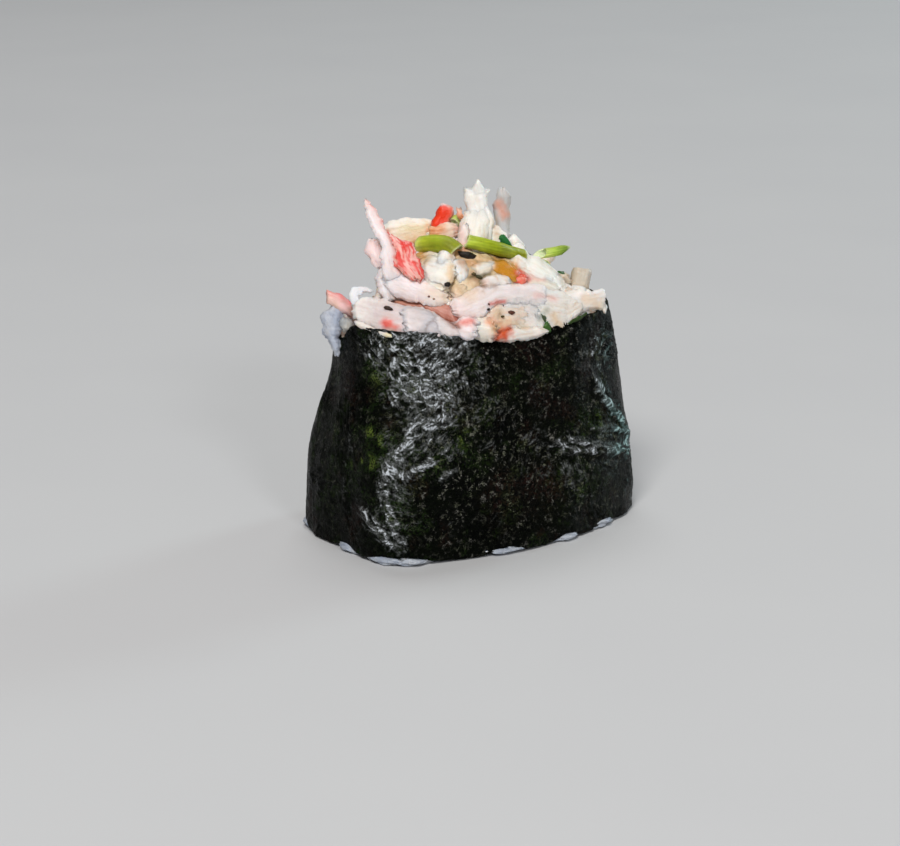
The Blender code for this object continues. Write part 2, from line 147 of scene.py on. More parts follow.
def layers(p, seed=0, count=3, gain=0.5):
    total, size = 0.0, 1.0
    for i in range(count):
        total = total + size * rough(np.asarray(p, float) * 2.03**i + 17.3 * i, seed + i)
        size *= gain
    return total


def cells(p, seed=0):
    """Distance from each point to the nearest of one random point per unit cell, and that cell's random number."""
    p = np.asarray(p, float)
    c = np.floor(p).astype(np.int64)
    best = np.full(p.shape[:-1], 9.0)
    which = np.zeros(p.shape[:-1])
    for dx in (-1, 0, 1):
        for dy in (-1, 0, 1):
            for dz in (-1, 0, 1):
                n = hashed(c[..., 0] + dx + 4096, c[..., 1] + dy + 4096, c[..., 2] + dz + 4096, seed)
                q = np.stack((c[..., 0] + dx + (n & 1023) / 1023, c[..., 1] + dy + ((n >> 10) & 1023) / 1023, c[..., 2] + dz + ((n >> 20) & 1023) / 1023), -1)
                d = np.linalg.norm(p - q, axis=-1)
                near = d < best
                best = np.where(near, d, best)
                which = np.where(near, ((n >> 5) & 1023) / 1023, which)
    return best, which


# ---------------------------------------------------------------- the viewer: where the camera stands, and what it sees in a 900 x 846 frame
EYE, AIM, LENS = np.array((-211.7, -338.7, 129.8)), np.array((-2.8, 1.75, 14.7)), 109.2
FWD = (AIM - EYE) / np.linalg.norm(AIM - EYE)
RIGHT = np.cross(FWD, (0, 0, 1))
RIGHT = RIGHT / np.linalg.norm(RIGHT)
UP = np.cross(RIGHT, FWD)
WIDE, TALL = 900, 846
PER = LENS / 36 * WIDE


def seen_at(p):
    """Where a point shows in the frame, and how far it is along the view: x, y, depth."""
    q = np.asarray(p, float) - EYE
    z = q @ FWD
    return WIDE / 2 + PER * (q @ RIGHT) / z, TALL / 2 - PER * (q @ UP) / z, z


def at_depth(px, py, z):
    px, py, z = np.asarray(px, float), np.asarray(py, float), np.asarray(z, float)
    d = FWD + RIGHT * ((px - WIDE / 2) / PER)[..., None] + UP * ((TALL / 2 - py) / PER)[..., None]
    return EYE + d * z[..., None]


def deep(p):
    return float((np.asarray(p, float) - EYE) @ FWD)


def over(p):
    """Roughly how far a point is outside the heap: below 0 is inside."""
    x, y, z = p[..., 0], p[..., 1], p[..., 2]
    a, b = RIM_A - 0.7, RIM_B - 0.7
    rho = (np.abs((x - RIM_SHIFT[0]) / a) ** PLAN_POWER + np.abs(y / b) ** PLAN_POWER) ** (1 / PLAN_POWER)
    return np.maximum(z - heap_z(x, y), (rho - 1) * b)


def on_heap(px, py, lift=0.0):
    """The point of the heap that shows at a pixel, or for a pixel beside the heap the point nearest to it, brought lift mm towards the viewer."""
    px, py = np.broadcast_arrays(np.asarray(px, float), np.asarray(py, float))
    z = np.linspace(deep((0, 0, 38)) - 34, deep((0, 0, 38)) + 26, 301)
    p = at_depth(px[..., None], py[..., None], np.broadcast_to(z, px.shape + z.shape))
    o = over(p)
    inside = o <= 0
    hit = inside.any(-1)
    first = np.where(hit, inside.argmax(-1), o.argmin(-1))
    before = np.maximum(first - 1, 0)
    oa = np.take_along_axis(o, before[..., None], -1)[..., 0]
    ob = np.take_along_axis(o, first[..., None], -1)[..., 0]
    share = np.where(hit & (oa > ob), np.clip(oa / np.maximum(oa - ob, 1e-6), 0, 1), 1.0)
    return at_depth(px, py, z[before] + (z[first] - z[before]) * share - lift)


# ---------------------------------------------------------------- meshes


class Heap:
    """Gathers many small closed shapes into one mesh."""

    def __init__(self):
        self.v, self.q, self.t, self.c, self.uv, self.n = [], [], [], [], [], 0

    def add(self, verts, quads=None, tris=None, colour=None, uv=None):
        verts = np.asarray(verts, float).reshape(-1, 3)
        self.v.append(verts)
        if quads is not None and len(quads):
            self.q.append(np.asarray(quads, int) + self.n)
        if tris is not None and len(tris):
            self.t.append(np.asarray(tris, int) + self.n)
        self.c.append(np.broadcast_to(np.asarray((0.8, 0.8, 0.8) if colour is None else colour, float), verts.shape))
        self.uv.append(np.zeros((len(verts), 2)) if uv is None else np.asarray(uv, float).reshape(-1, 2))
        self.n += len(verts)

    def mesh(self, name, material, slot, replaces=(), sharp=None):
        v = np.concatenate(self.v)
        quads = np.concatenate(self.q) if self.q else np.zeros((0, 4), int)
        tris = np.concatenate(self.t) if self.t else np.zeros((0, 3), int)
        colour, uv = np.concatenate(self.c), np.concatenate(self.uv)
        me = bpy.data.meshes.new(name)
        me.vertices.add(len(v))
        me.vertices.foreach_set("co", (v * MM).astype(np.float32).ravel())
        corners = np.concatenate((quads.ravel(), tris.ravel()))
        me.loops.add(len(corners))
        me.loops.foreach_set("vertex_index", corners.astype(np.int32))
        starts = np.concatenate((np.arange(len(quads)) * 4, len(quads) * 4 + np.arange(len(tris)) * 3))
        me.polygons.add(len(starts))
        me.polygons.foreach_set("loop_start", starts.astype(np.int32))
        me.polygons.foreach_set("use_smooth", np.ones(len(starts), bool))
        me.update(calc_edges=True)
        layer = me.uv_layers.new(name="UVMap")
        layer.data.foreach_set("uv", uv[corners].astype(np.float32).ravel())
        dye = me.color_attributes.new("dye", "FLOAT_COLOR", "POINT")
        dye.data.foreach_set("color", np.concatenate((np.clip(colour, 0, 1), np.ones((len(v), 1))), 1).astype(np.float32).ravel())
        me.validate()
        me.materials.append(material)
        ob = bpy.data.objects.new(name, me)
        bpy.context.scene.collection.objects.link(ob)
        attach(ob, "root")
        if replaces:
            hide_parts(*replaces)
        return ob


def ring_quads(rows, around, closed=True):
    """Quads of a tube of rows rings, facing outwards when each ring runs anticlockwise seen from its end."""
    i, j = np.meshgrid(np.arange(rows - 1), np.arange(around if closed else around - 1), indexing="ij")
    j2 = (j + 1) % around
    return np.stack((i * around + j, i * around + j2, (i + 1) * around + j2, (i + 1) * around + j), -1).reshape(-1, 4)


def spline(points, t):
    """A smooth curve through the rows of points, read at t from 0 to 1."""
    p = np.asarray(points, float)
    if len(p) == 2:
        return p[0] + (p[1] - p[0]) * np.asarray(t)[:, None]
    gap = np.maximum(np.linalg.norm(np.diff(p, axis=0), axis=1), 1e-6) ** 0.75
    k = np.concatenate(((0,), np.cumsum(gap)))
    k = k / k[-1]
    m = np.empty_like(p)
    s = np.diff(p, axis=0) / np.diff(k)[:, None]
    w = np.diff(k)
    m[1:-1] = (s[:-1] * w[1:, None] + s[1:] * w[:-1, None]) / (w[1:] + w[:-1])[:, None]
    m[0], m[-1] = 1.5 * s[0] - 0.5 * m[1], 1.5 * s[-1] - 0.5 * m[-2]
    t = np.clip(np.asarray(t, float), 0, 1)
    i = np.clip(np.searchsorted(k, t, side="right") - 1, 0, len(p) - 2)
    h = (k[i + 1] - k[i])[:, None]
    u = ((t - k[i]) / (k[i + 1] - k[i]))[:, None]
    return (2 * u**3 - 3 * u**2 + 1) * p[i] + (u**3 - 2 * u**2 + u) * h * m[i] + (-2 * u**3 + 3 * u**2) * p[i + 1] + (u**3 - u**2) * h * m[i + 1]


def unit(v):
    return v / np.maximum(np.linalg.norm(v, axis=-1, keepdims=True), 1e-9)


# ---------------------------------------------------------------- materials


class Paint:
    """A material's node tree, with short names for the nodes used here."""

    def __init__(self, name):
        self.m = bpy.data.materials.new(name)
        self.m.use_nodes = True
        self.t = self.m.node_tree
        self.p = self.t.nodes["Principled BSDF"]

    def put(self, socket, value):
        if isinstance(value, bpy.types.NodeSocket):
            self.t.links.new(value, socket)
        elif isinstance(value, (tuple, list)) and len(value) == 3 and socket.type == "RGBA":
            socket.default_value = (*value, 1)
        else:
            socket.default_value = value

    def node(self, kind, **settings):
        n = self.t.nodes.new(kind)
        for key, value in settings.items():
            setattr(n, key, value)
        return n

    def math(self, operation, a, b=None, c=None, clamp=False):
        n = self.node("ShaderNodeMath", operation=operation, use_clamp=clamp)
        for i, value in enumerate((a, b, c)):
            if value is not None:
                self.put(n.inputs[i], value)
        return n.outputs[0]

    def vector(self, operation, a, b=None, scale=None):
        n = self.node("ShaderNodeVectorMath", operation=operation)
        self.put(n.inputs[0], a)
        if b is not None:
            self.put(n.inputs[1], b)
        if scale is not None:
            self.put(n.inputs["Scale"], scale)
        return n.outputs["Value" if operation in ("LENGTH", "DOT_PRODUCT") else "Vector"]

    def noise(self, where, scale, detail=2.0, roughness=0.5, distortion=0.0, dimensions="3D"):
        n = self.node("ShaderNodeTexNoise", noise_dimensions=dimensions)
        self.put(n.inputs["Vector"], where)
        for key, value in (("Scale", scale), ("Detail", detail), ("Roughness", roughness), ("Distortion", distortion)):
            self.put(n.inputs[key], value)
        return n.outputs["Fac"]

    def span(self, value, a, b, low=0.0, high=1.0, soft=True):
        n = self.node("ShaderNodeMapRange", interpolation_type="SMOOTHSTEP" if soft else "LINEAR")
        for i, x in enumerate((value, a, b, low, high)):
            self.put(n.inputs[i], x)
        return n.outputs[0]

    def mix(self, share, a, b, blend="MIX"):
        n = self.node("ShaderNodeMix", data_type="RGBA", blend_type=blend)
        self.put(n.inputs[0], share)
        self.put(n.inputs[6], a)
        self.put(n.inputs[7], b)
        return n.outputs[2]

    def split(self, vector):
        n = self.node("ShaderNodeSeparateXYZ")
        self.put(n.inputs[0], vector)
        return n.outputs

    def channels(self, colour):
        n = self.node("ShaderNodeSeparateColor")
        self.put(n.inputs[0], colour)
        return n.outputs

    def uv(self):
        return self.node("ShaderNodeUVMap", uv_map="UVMap").outputs[0]

    def dye(self):
        return self.node("ShaderNodeAttribute", attribute_name="dye").outputs["Color"]

    def place(self):
        """The point itself, in millimetres."""
        return self.vector("SCALE", self.node("ShaderNodeTexCoord").outputs["Object"], scale=1 / MM)

    def bump(self, height, distance, strength=1.0, normal=None):
        n = self.node("ShaderNodeBump")
        self.put(n.inputs["Height"], height)
        n.inputs["Distance"].default_value = distance * MM
        n.inputs["Strength"].default_value = strength
        if normal is not None:
            self.put(n.inputs["Normal"], normal)
        return n.outputs[0]

    def surface(self, **values):
        for key, value in values.items():
            self.put(self.p.inputs[key.replace("_", " ")], value)
        return self.m


def strand_layer(k, uv, per_mm, half_length, half_width, shift, lean=None, curl=2.4):
    """Short curved strands, one in each cell of a scatter: 1 on a strand, 0 off it. Sizes are in mm."""
    v = k.vector("ADD", uv, shift)
    cell = k.node("ShaderNodeTexVoronoi", voronoi_dimensions="2D", feature="F1")
    k.put(cell.inputs["Vector"], v)
    k.put(cell.inputs["Scale"], per_mm)
    local = k.vector("SUBTRACT", v, cell.outputs["Position"])
    r, g, b = k.channels(cell.outputs["Color"])[:3]
    turn = k.node("ShaderNodeVectorRotate", rotation_type="Z_AXIS")
    k.put(turn.inputs["Vector"], local)
    if lean is None:
        k.put(turn.inputs["Angle"], k.math("MULTIPLY", r, 2 * math.pi))
    else:
        k.put(turn.inputs["Angle"], k.math("MULTIPLY_ADD", r, lean[1], lean[0]))
    x, y = k.split(turn.outputs[0])[:2]
    bend = k.math("MULTIPLY", k.math("SUBTRACT", g, 0.5), curl / half_length)
    y = k.math("ADD", y, k.math("MULTIPLY", bend, k.math("MULTIPLY", x, x)))
    d = k.math("SQRT", k.math("ADD", k.math("POWER", k.math("DIVIDE", k.math("ABSOLUTE", x), half_length), 2.0), k.math("POWER", k.math("DIVIDE", k.math("ABSOLUTE", y), half_width), 2.0)))
    return k.math("MULTIPLY", k.span(d, 1.0, 0.25), k.math("MULTIPLY_ADD", b, 0.75, 0.25))


def nori_material():
    k = Paint("nori_with_painted_highlights")
    at = k.place()
    green, warm, wet_and_highlight = k.channels(k.dye())[:3]
    wander = k.node("ShaderNodeTexNoise", noise_dimensions="2D")
    k.put(wander.inputs["Vector"], k.uv())
    k.put(wander.inputs["Scale"], 0.9)
    uv = k.vector("ADD", k.uv(), k.vector("SCALE", k.vector("SUBTRACT", wander.outputs["Color"], (0.5, 0.5, 0.5)), scale=0.5))

    def veins(scale, shift, thin):
        n = k.noise(k.vector("ADD", uv, shift), scale, 3.0, 0.58, 0.5, "2D")
        return k.span(k.math("ABSOLUTE", k.math("SUBTRACT", n, 0.5)), thin, 0.0)

    strands = k.math("MAXIMUM", k.math("MULTIPLY", veins(0.95, (3.0, 8.0, 0.0), 0.030), 0.8), k.math("MULTIPLY", veins(1.9, (11.0, 2.0, 0.0), 0.032), 0.9))
    for per_mm, long, thin, shift, lean in (
        (1.05, 0.60, 0.105, (0.0, 0.0, 0.0), None),
        (0.80, 0.95, 0.110, (7.3, 1.9, 0.0), (2.2, 1.5)),
        (1.7, 0.36, 0.085, (5.1, 4.3, 0.0), None),
    ):
        strands = k.math("MAXIMUM", strands, strand_layer(k, uv, per_mm, long, thin, shift, lean))
    way = k.math("MULTIPLY_ADD", k.noise(at, 0.075, 2.0, 0.6), 6.5, -0.9)
    glint = k.math("MAXIMUM", strand_layer(k, uv, 0.48, 1.90, 0.300, (2.4, 6.1, 0.0), (way, 0.9), 0.7), strand_layer(k, uv, 0.9, 1.10, 0.165, (9.7, 3.3, 0.0), (way, 1.2), 0.8))
    glint = k.math("MAXIMUM", glint, strand_layer(k, uv, 0.70, 1.35, 0.210, (5.9, 8.8, 0.0), (way, 2.2), 1.2))
    clumps = k.span(k.noise(at, 1.15, 3.0, 0.68), 0.515, 0.625, 0.01, 1.0)
    # fewer pale fibres on the left end, as painted shade where that end turns from the lamps, and fewer towards the
    # bottom
    broad = k.span(k.noise(at, 0.22, 2.0, 0.5), 0.36, 0.64, 0.35, 1.1)
    broad = k.math("MULTIPLY", broad, k.span(k.split(at)[2], 1.0, 11.0, 0.5, 1.0))
    broad = k.math("MULTIPLY", broad, k.span(k.split(at)[0], -25.0, -15.0, 0.25, 1.0))
    grain = k.noise(at, 2.6, 3.0, 0.6)
    fleck = k.noise(at, 3.4, 3.0, 0.68)
    base = k.mix(k.span(k.noise(at, 0.16, 3.0, 0.6), 0.38, 0.62), (0.0004, 0.0005, 0.0005), (0.0012, 0.0017, 0.0009))
    leafy = k.math("MULTIPLY", green, k.span(grain, 0.42, 0.60))
    base = k.mix(leafy, base, (0.020, 0.042, 0.008))
    base = k.mix(k.math("MULTIPLY", k.span(green, 0.48, 0.95), k.span(fleck, 0.44, 0.60)), base, (0.095, 0.130, 0.024))
    base = k.mix(k.math("MULTIPLY", warm, k.span(grain, 0.42, 0.62)), base, (0.018, 0.0065, 0.0055))
    # pale fibres: the sheet's own lighter strands, made bright enough to stand in for the glints they catch as well
    show = k.math("MULTIPLY", k.math("MULTIPLY", strands, clumps), broad, clamp=True)
    pale = k.mix(k.span(k.noise(at, 0.9, 2.0), 0.4, 0.6), (0.150, 0.155, 0.110), (0.255, 0.245, 0.225))
    pale = k.mix(green, pale, (0.15, 0.21, 0.045))
    colour = k.mix(show, base, pale)
    # painted highlight: where the sheet is marked wet, a pale film and bright fibre streaks are painted into the colour
    # in place of the lamps' reflection; towards the right end they take the teal of the side lamp
    painted_highlight = k.math("MULTIPLY", wet_and_highlight, k.math("MULTIPLY_ADD", glint, 0.72, k.math("MULTIPLY_ADD", fleck, 2.0, -0.44)))
    painted_teal_side = k.span(k.split(at)[0], 12.0, 19.0)
    colour = k.mix(k.span(painted_highlight, 0.16, 0.74, 0.0, 0.9), colour, k.mix(painted_teal_side, (0.130, 0.137, 0.136), (0.078, 0.138, 0.132)))
    colour = k.mix(k.span(painted_highlight, 0.62, 1.18), colour, k.mix(painted_teal_side, (0.60, 0.64, 0.69), (0.42, 0.62, 0.62)))
    roughness = k.math("SUBTRACT", k.span(k.noise(at, 0.7, 3.0, 0.6), 0.3, 0.7, 0.22, 0.38), k.math("MULTIPLY", wet_and_highlight, 0.06), clamp=True)
    normal = k.bump(grain, 0.16, 1.0)
    normal = k.bump(k.math("ADD", strands, k.math("MULTIPLY", fleck, 0.8)), 0.085, 1.0, normal)
    k.surface(Base_Color=colour, Roughness=roughness, Normal=normal)
    k.p.inputs["IOR"].default_value = 1.25
    k.p.inputs["Specular IOR Level"].default_value = 0.12
    return k.m


# ---------------------------------------------------------------- nori

# Creases that the long side shows, as lines in the viewer's frame: points, half width in pixels, and how far they stand out in mm
CREASES = [
    ([(456, 418), (438, 420), (421, 429), (408, 443), (397, 459), (387, 476), (381, 497)], 5.0, 0.42),
    ([(454, 447), (432, 460), (415, 470), (400, 481)], 4.0, 0.34),
    ([(462, 468), (450, 474), (438, 482)], 3.5, 0.24),
    ([(553, 439), (563, 448), (580, 451), (602, 452), (628, 451)], 3.6, 0.42),
    ([(566, 436), (584, 443), (602, 447), (622, 444)], 2.8, 0.26),
    ([(594, 372), (599, 392), (610, 405), (620, 420), (628, 442)], 3.8, 0.36),
    ([(588, 431), (603, 427), (621, 430)], 3.0, 0.28),
    ([(362, 509), (374, 527), (386, 541), (397, 549)], 3.6, 0.28),
    ([(384, 497), (391, 519), (402, 547)], 4.2, 0.30),
    ([(372, 342), (386, 358), (398, 374), (406, 392)], 4.5, 0.20),
    ([(390, 342), (406, 360), (420, 378), (428, 394)], 4.5, 0.24),
    ([(414, 349), (430, 366), (442, 384), (450, 402)], 5.0, 0.24),
    ([(440, 352), (452, 368), (462, 380)], 5.0, 0.18),
    ([(396, 398), (404, 410), (418, 417)], 4.0, 0.24),
    ([(337, 452), (342, 480), (346, 512)], 4.0, 0.20),
    ([(322, 448), (320, 470), (319, 505)], 3.6, 0.22),
    ([(360, 352), (366, 368), (380, 378)], 4.0, 0.20),
]
# Where the sheet swells or sinks, in the same frame: middle, half sizes, turn in degrees, and by how much in mm
SWELLS = [
    (424, 388, 42, 24, 20, 0.40), (452, 446, 40, 20, -30, -0.30), (405, 452, 24, 26, -40, 0.25), (430, 500, 34, 28, 0, -0.22),
    (500, 400, 30, 44, 10, -0.20), (556, 400, 26, 34, 0, 0.22), (600, 405, 20, 26, 20, -0.45), (598, 472, 34, 18, 0, 0.30),
    (384, 515, 16, 34, 10, 0.20), (345, 430, 12, 50, 0, -0.20), (540, 500, 40, 26, 0, -0.15), (478, 356, 30, 12, 0, -0.25),
]
# Streaks of painted highlight, where the sheet looks wet and shines (they also lower its roughness and raise it a
# little), in the same frame: middle, half sizes, turn, the way the streaks run, their length and spacing, and how
# strong
STREAKS = [
    (428, 341, 34, 8, 6, 10, 16, 3.2, 2.5), (398, 358, 38, 16, 42, 45, 14, 3.0, 1.0), (442, 370, 24, 22, 0, -35, 12, 3.4, 1.0), (375, 352, 16, 10, 50, 50, 12, 3.0, 0.7),
    (424, 388, 30, 14, 15, -20, 12, 3.5, 0.8), (420, 402, 30, 10, 0, 10, 14, 4.0, 0.5), (396, 405, 16, 12, 60, 60, 12, 3.0, 0.6),
    (432, 424, 22, 8, -10, -8, 16, 3.2, 1.0), (408, 438, 22, 9, -55, -55, 14, 3.0, 0.9), (430, 442, 24, 10, -35, -38, 14, 3.2, 0.4),
    (430, 464, 30, 7, -32, -32, 18, 3.2, 0.85), (449, 474, 14, 5, -30, -30, 14, 3.0, 0.7), (388, 480, 8, 20, 4, 75, 10, 3.2, 1.0),
    (397, 470, 14, 12, 0, -50, 10, 3.0, 0.5), (378, 528, 28, 7, 48, 48, 14, 3.0, 0.85), (393, 522, 28, 6, 68, 68, 16, 3.0, 0.75),
    (399, 541, 12, 9, 0, 30, 10, 3.0, 0.6), (425, 520, 26, 20, 0, -60, 10, 3.0, 0.2), (600, 348, 14, 22, 0, -60, 10, 3.0, 0.8), (610, 405, 7, 34, -22, 68, 16, 3.0, 1.1), (480, 365, 20, 16, 0, -50, 9, 3.0, 0.4), (345, 470, 14, 50, 0, 80, 12, 3.0, 0.3),
    (590, 446, 36, 6, 4, 6, 20, 2.8, 1.0), (612, 432, 18, 5, -5, -5, 14, 2.6, 0.7), (622, 446, 9, 8, 0, 30, 8, 2.6, 0.8),
    (585, 496, 6, 2.0, 0, 0, 8, 3.0, 1.2), (625, 478, 5, 30, 0, 90, 14, 3.0, 0.35), (490, 420, 60, 50, 0, -60, 8, 3.0, 0.28), (560, 470, 40, 40, 0, -70, 8, 3.0, 0.25),
]
# Patches of the sheet in the same frame: middle, half sizes, turn in degrees, and how green, how warm and how much
# painted highlight, which also lowers the roughness
PATCHES = [
    (412, 382, 17, 10, 30, 0.95, 0, 0.1),
    (374, 435, 9, 11, 0, 1.0, 0, 0),
    (462, 434, 12, 9, 30, 0.8, 0, 0),
    (365, 463, 13, 10, 0, 0.75, 0, 0),
    (379, 374, 9, 12, 0, 0.55, 0, 0),
    (392, 445, 13, 24, 10, 0.38, 0, 0),
    (400, 350, 12, 7, 40, 0.4, 0, 0),
    (432, 470, 20, 10, -30, 0.38, 0, 0),
    (334, 470, 7, 40, 0, 0.35, 0, 0),
    (452, 452, 10, 7, 0, 0.6, 0, 0),
    (592, 420, 22, 16, 0, 0.45, 0, 0),
    (578, 482, 26, 22, 0, 0.30, 0, 0),
    (395, 520, 15, 26, 0, 0.36, 0, 0.2),
    (446, 405, 10, 8, 0, 0, 0.9, 0),
    (503, 498, 17, 22, 0, 0, 0.7, 0),
    (532, 350, 17, 11, 0, 0, 0.7, 0),
    (538, 486, 18, 24, 0, 0, 0.5, 0),
    (388, 423, 9, 7, 0, 0, 0.8, 0),
    (468, 415, 16, 10, 0, 0, 0.5, 0),
    (418, 374, 48, 34, 20, 0.1, 0, 0.42),
    (418, 442, 40, 28, -35, 0.1, 0, 0.26),
    (388, 505, 24, 46, 8, 0.1, 0, 0.22),
    (566, 470, 50, 34, 0, 0.05, 0, 0.12),
]


def line_share(px, py, points, half):
    """1 on a line through the points, falling off over half to its sides, and fading out at its ends."""
    t = np.linspace(0, 1, 60)
    line = spline(np.array([(x, y, 0.0) for x, y in points]), t)[:, :2]
    best, where = np.full(px.shape, 1e9), np.zeros(px.shape)
    for (x, y), s in zip(line, t):
        d = (px - x) ** 2 + (py - y) ** 2
        near = d < best
        best, where = np.where(near, d, best), np.where(near, s, where)
    return np.exp(-best / half**2) * smooth(0, 0.15, where + 0.03) * smooth(0, 0.15, 1.03 - where)


def nori_shape(deg, h, arc):
    """How far the sheet wanders in and out from the plan, in mm, and its three shares of green, warm and painted
    highlight, which also lowers the roughness.
    """
    x, y = wall(deg, h)
    low, high = hem_z(deg), rim_z(deg)
    z = low + (high - low) * h
    p = np.stack((x, y, z), -1)
    out = 0.26 * rough(p / 8.5, 3) + 0.12 * rough(p / (4.0, 4.0, 5.5), 4)
    # wrinkles run with the sheet's own drift, in patches
    turn = 1.1 * rough(p / 13.0, 9) + 0.8
    a = arc * np.cos(turn) + z * np.sin(turn)
    b = -arc * np.sin(turn) + z * np.cos(turn)
    folds = 1 - 2 * np.abs(rough(np.stack((a / 5.5, b / 1.9, 0 * a), -1), 21))
    where = smooth(0.0, 0.55, rough(p / 7.0, 5) + 0.12)
    out = out + 0.18 * folds * where
    fine = 1 - 2 * np.abs(rough(p / 1.35 + 0.5 * rough(p / 3.0, 7)[..., None], 31))
    out = out + 0.060 * fine + 0.03 * rough(p / 0.65, 33)
    green = 0.30 * smooth(0.15, 0.6, layers(p / 4.2, 41)) + 0.03
    warm = 0.5 * smooth(0.2, 0.6, layers(p / 4.8, 43))
    wet_and_highlight = 0.20 * smooth(0.15, 0.6, layers(p / 5.0, 45))
    # what the viewer sees of the long side
    px, py, _ = seen_at(p)
    e = 0.6
    x1, y1 = wall(deg + e, h)
    x0, y0 = wall(deg - e, h)
    facing = smooth(-0.12, 0.05, (-(y1 - y0) * FWD[0] + (x1 - x0) * FWD[1]) / np.hypot(x1 - x0, y1 - y0))
    for points, half, high_mm in CREASES:
        out = out + 1.35 * high_mm * facing * (line_share(px, py, points, half) - 0.4 * line_share(px, py, [(u, v + 1.6 * half) for u, v in points], half * 1.3))
    for cx, cy, rx, ry, spin, high_mm in SWELLS:
        c, s = math.cos(math.radians(spin)), math.sin(math.radians(spin))
        u, v = (px - cx) * c + (py - cy) * s, -(px - cx) * s + (py - cy) * c
        out = out + high_mm * facing * np.exp(-((u / rx) ** 2 + (v / ry) ** 2))
    for cx, cy, rx, ry, spin, way, length, apart, strength in STREAKS:
        c, s = math.cos(math.radians(spin)), math.sin(math.radians(spin))
        u, v = (px - cx) * c + (py - cy) * s, -(px - cx) * s + (py - cy) * c
        share = facing * np.exp(-((u / rx) ** 2 + (v / ry) ** 2))
        c, s = math.cos(math.radians(way)), math.sin(math.radians(way))
        u, v = px * c + py * s, -px * s + py * c
        v = v + 2.5 * rough(np.stack((px / 14, py / 14, 0 * px), -1), 47)
        lines = smooth(-0.15, 0.42, rough(np.stack((u / length, v / apart, 0 * u + cx), -1), 48) + 0.45 * rough(p / 0.75, 50))
        wet_and_highlight = wet_and_highlight + 1.1 * strength * share * (0.06 + 1.1 * lines)
        out = out + 0.14 * share * lines
    # painted glints: the first nine creases add painted highlight along their lines
    for number, (points, half, high_mm) in enumerate(CREASES[:9]):
        wet_and_highlight = wet_and_highlight + (3.6 if 3 <= number < 7 else 2.3) * high_mm * facing * line_share(px, py, points, 0.8 * half) * smooth(-0.38, 0.30, rough(p / 1.7, 49) + 0.4 * rough(p / 0.7, 52))
    for cx, cy, rx, ry, spin, g, w, t in PATCHES:
        c, s = math.cos(math.radians(spin)), math.sin(math.radians(spin))
        u, v = (px - cx) * c + (py - cy) * s, -(px - cx) * s + (py - cy) * c
        share = facing * np.exp(-((u / rx) ** 2 + (v / ry) ** 2) * 0.9) * (0.35 + 0.95 * smooth(-0.25, 0.30, rough(p / 1.5, 53)))
        green, warm, wet_and_highlight = green + g * share, warm + w * share, wet_and_highlight + t * share
    # the top edge leans over in places, most where the light catches it under the rim
    lean = 0.25 + 0.5 * smooth(-0.2, 0.6, rough(p * (0.16, 0.16, 0), 51)) + 0.9 * bell(deg, -112, 13)
    out = out - lean * smooth(0.91, 1.0, h) ** 1.5 * 1.0
    return out, np.stack((green, warm, wet_and_highlight), -1)


INSIDE_DEG, INSIDE_H = np.arange(0, 361, 1.5), np.linspace(0, 1, 60)


def inside_table():
    """How far the sheet's inner face wanders from the plan, round the plan and up it."""
    around = (INSIDE_DEG - LAP_START) % 360
    w = np.linspace(0, 360.0, 720)
    x, y = wall(LAP_START + w, 0.5)
    arc = np.concatenate(((0,), np.cumsum(np.hypot(np.diff(x), np.diff(y)))))
    D, H = np.meshgrid(INSIDE_DEG, INSIDE_H, indexing="ij")
    out, _ = nori_shape(D, H, np.broadcast_to(np.interp(around, w, arc)[:, None], D.shape))
    return out - NORI_T


INSIDE = inside_table()


def within(deg, z, gap):
    """Points gap mm inside the sheet, at height z: x, y."""
    deg, z = np.broadcast_arrays(np.asarray(deg, float), np.asarray(z, float))
    h = np.clip((z - hem_z(deg)) / (rim_z(deg) - hem_z(deg)), 0, 1)
    u, v = (deg % 360) / 1.5, h * (len(INSIDE_H) - 1)
    i, j = np.clip(u.astype(int), 0, len(INSIDE_DEG) - 2), np.clip(v.astype(int), 0, len(INSIDE_H) - 2)
    fu, fv = u - i, v - j
    off = (INSIDE[i, j] * (1 - fu) + INSIDE[i + 1, j] * fu) * (1 - fv) + (INSIDE[i, j + 1] * (1 - fu) + INSIDE[i + 1, j + 1] * fu) * fv
    return wall(deg, h, off - gap)


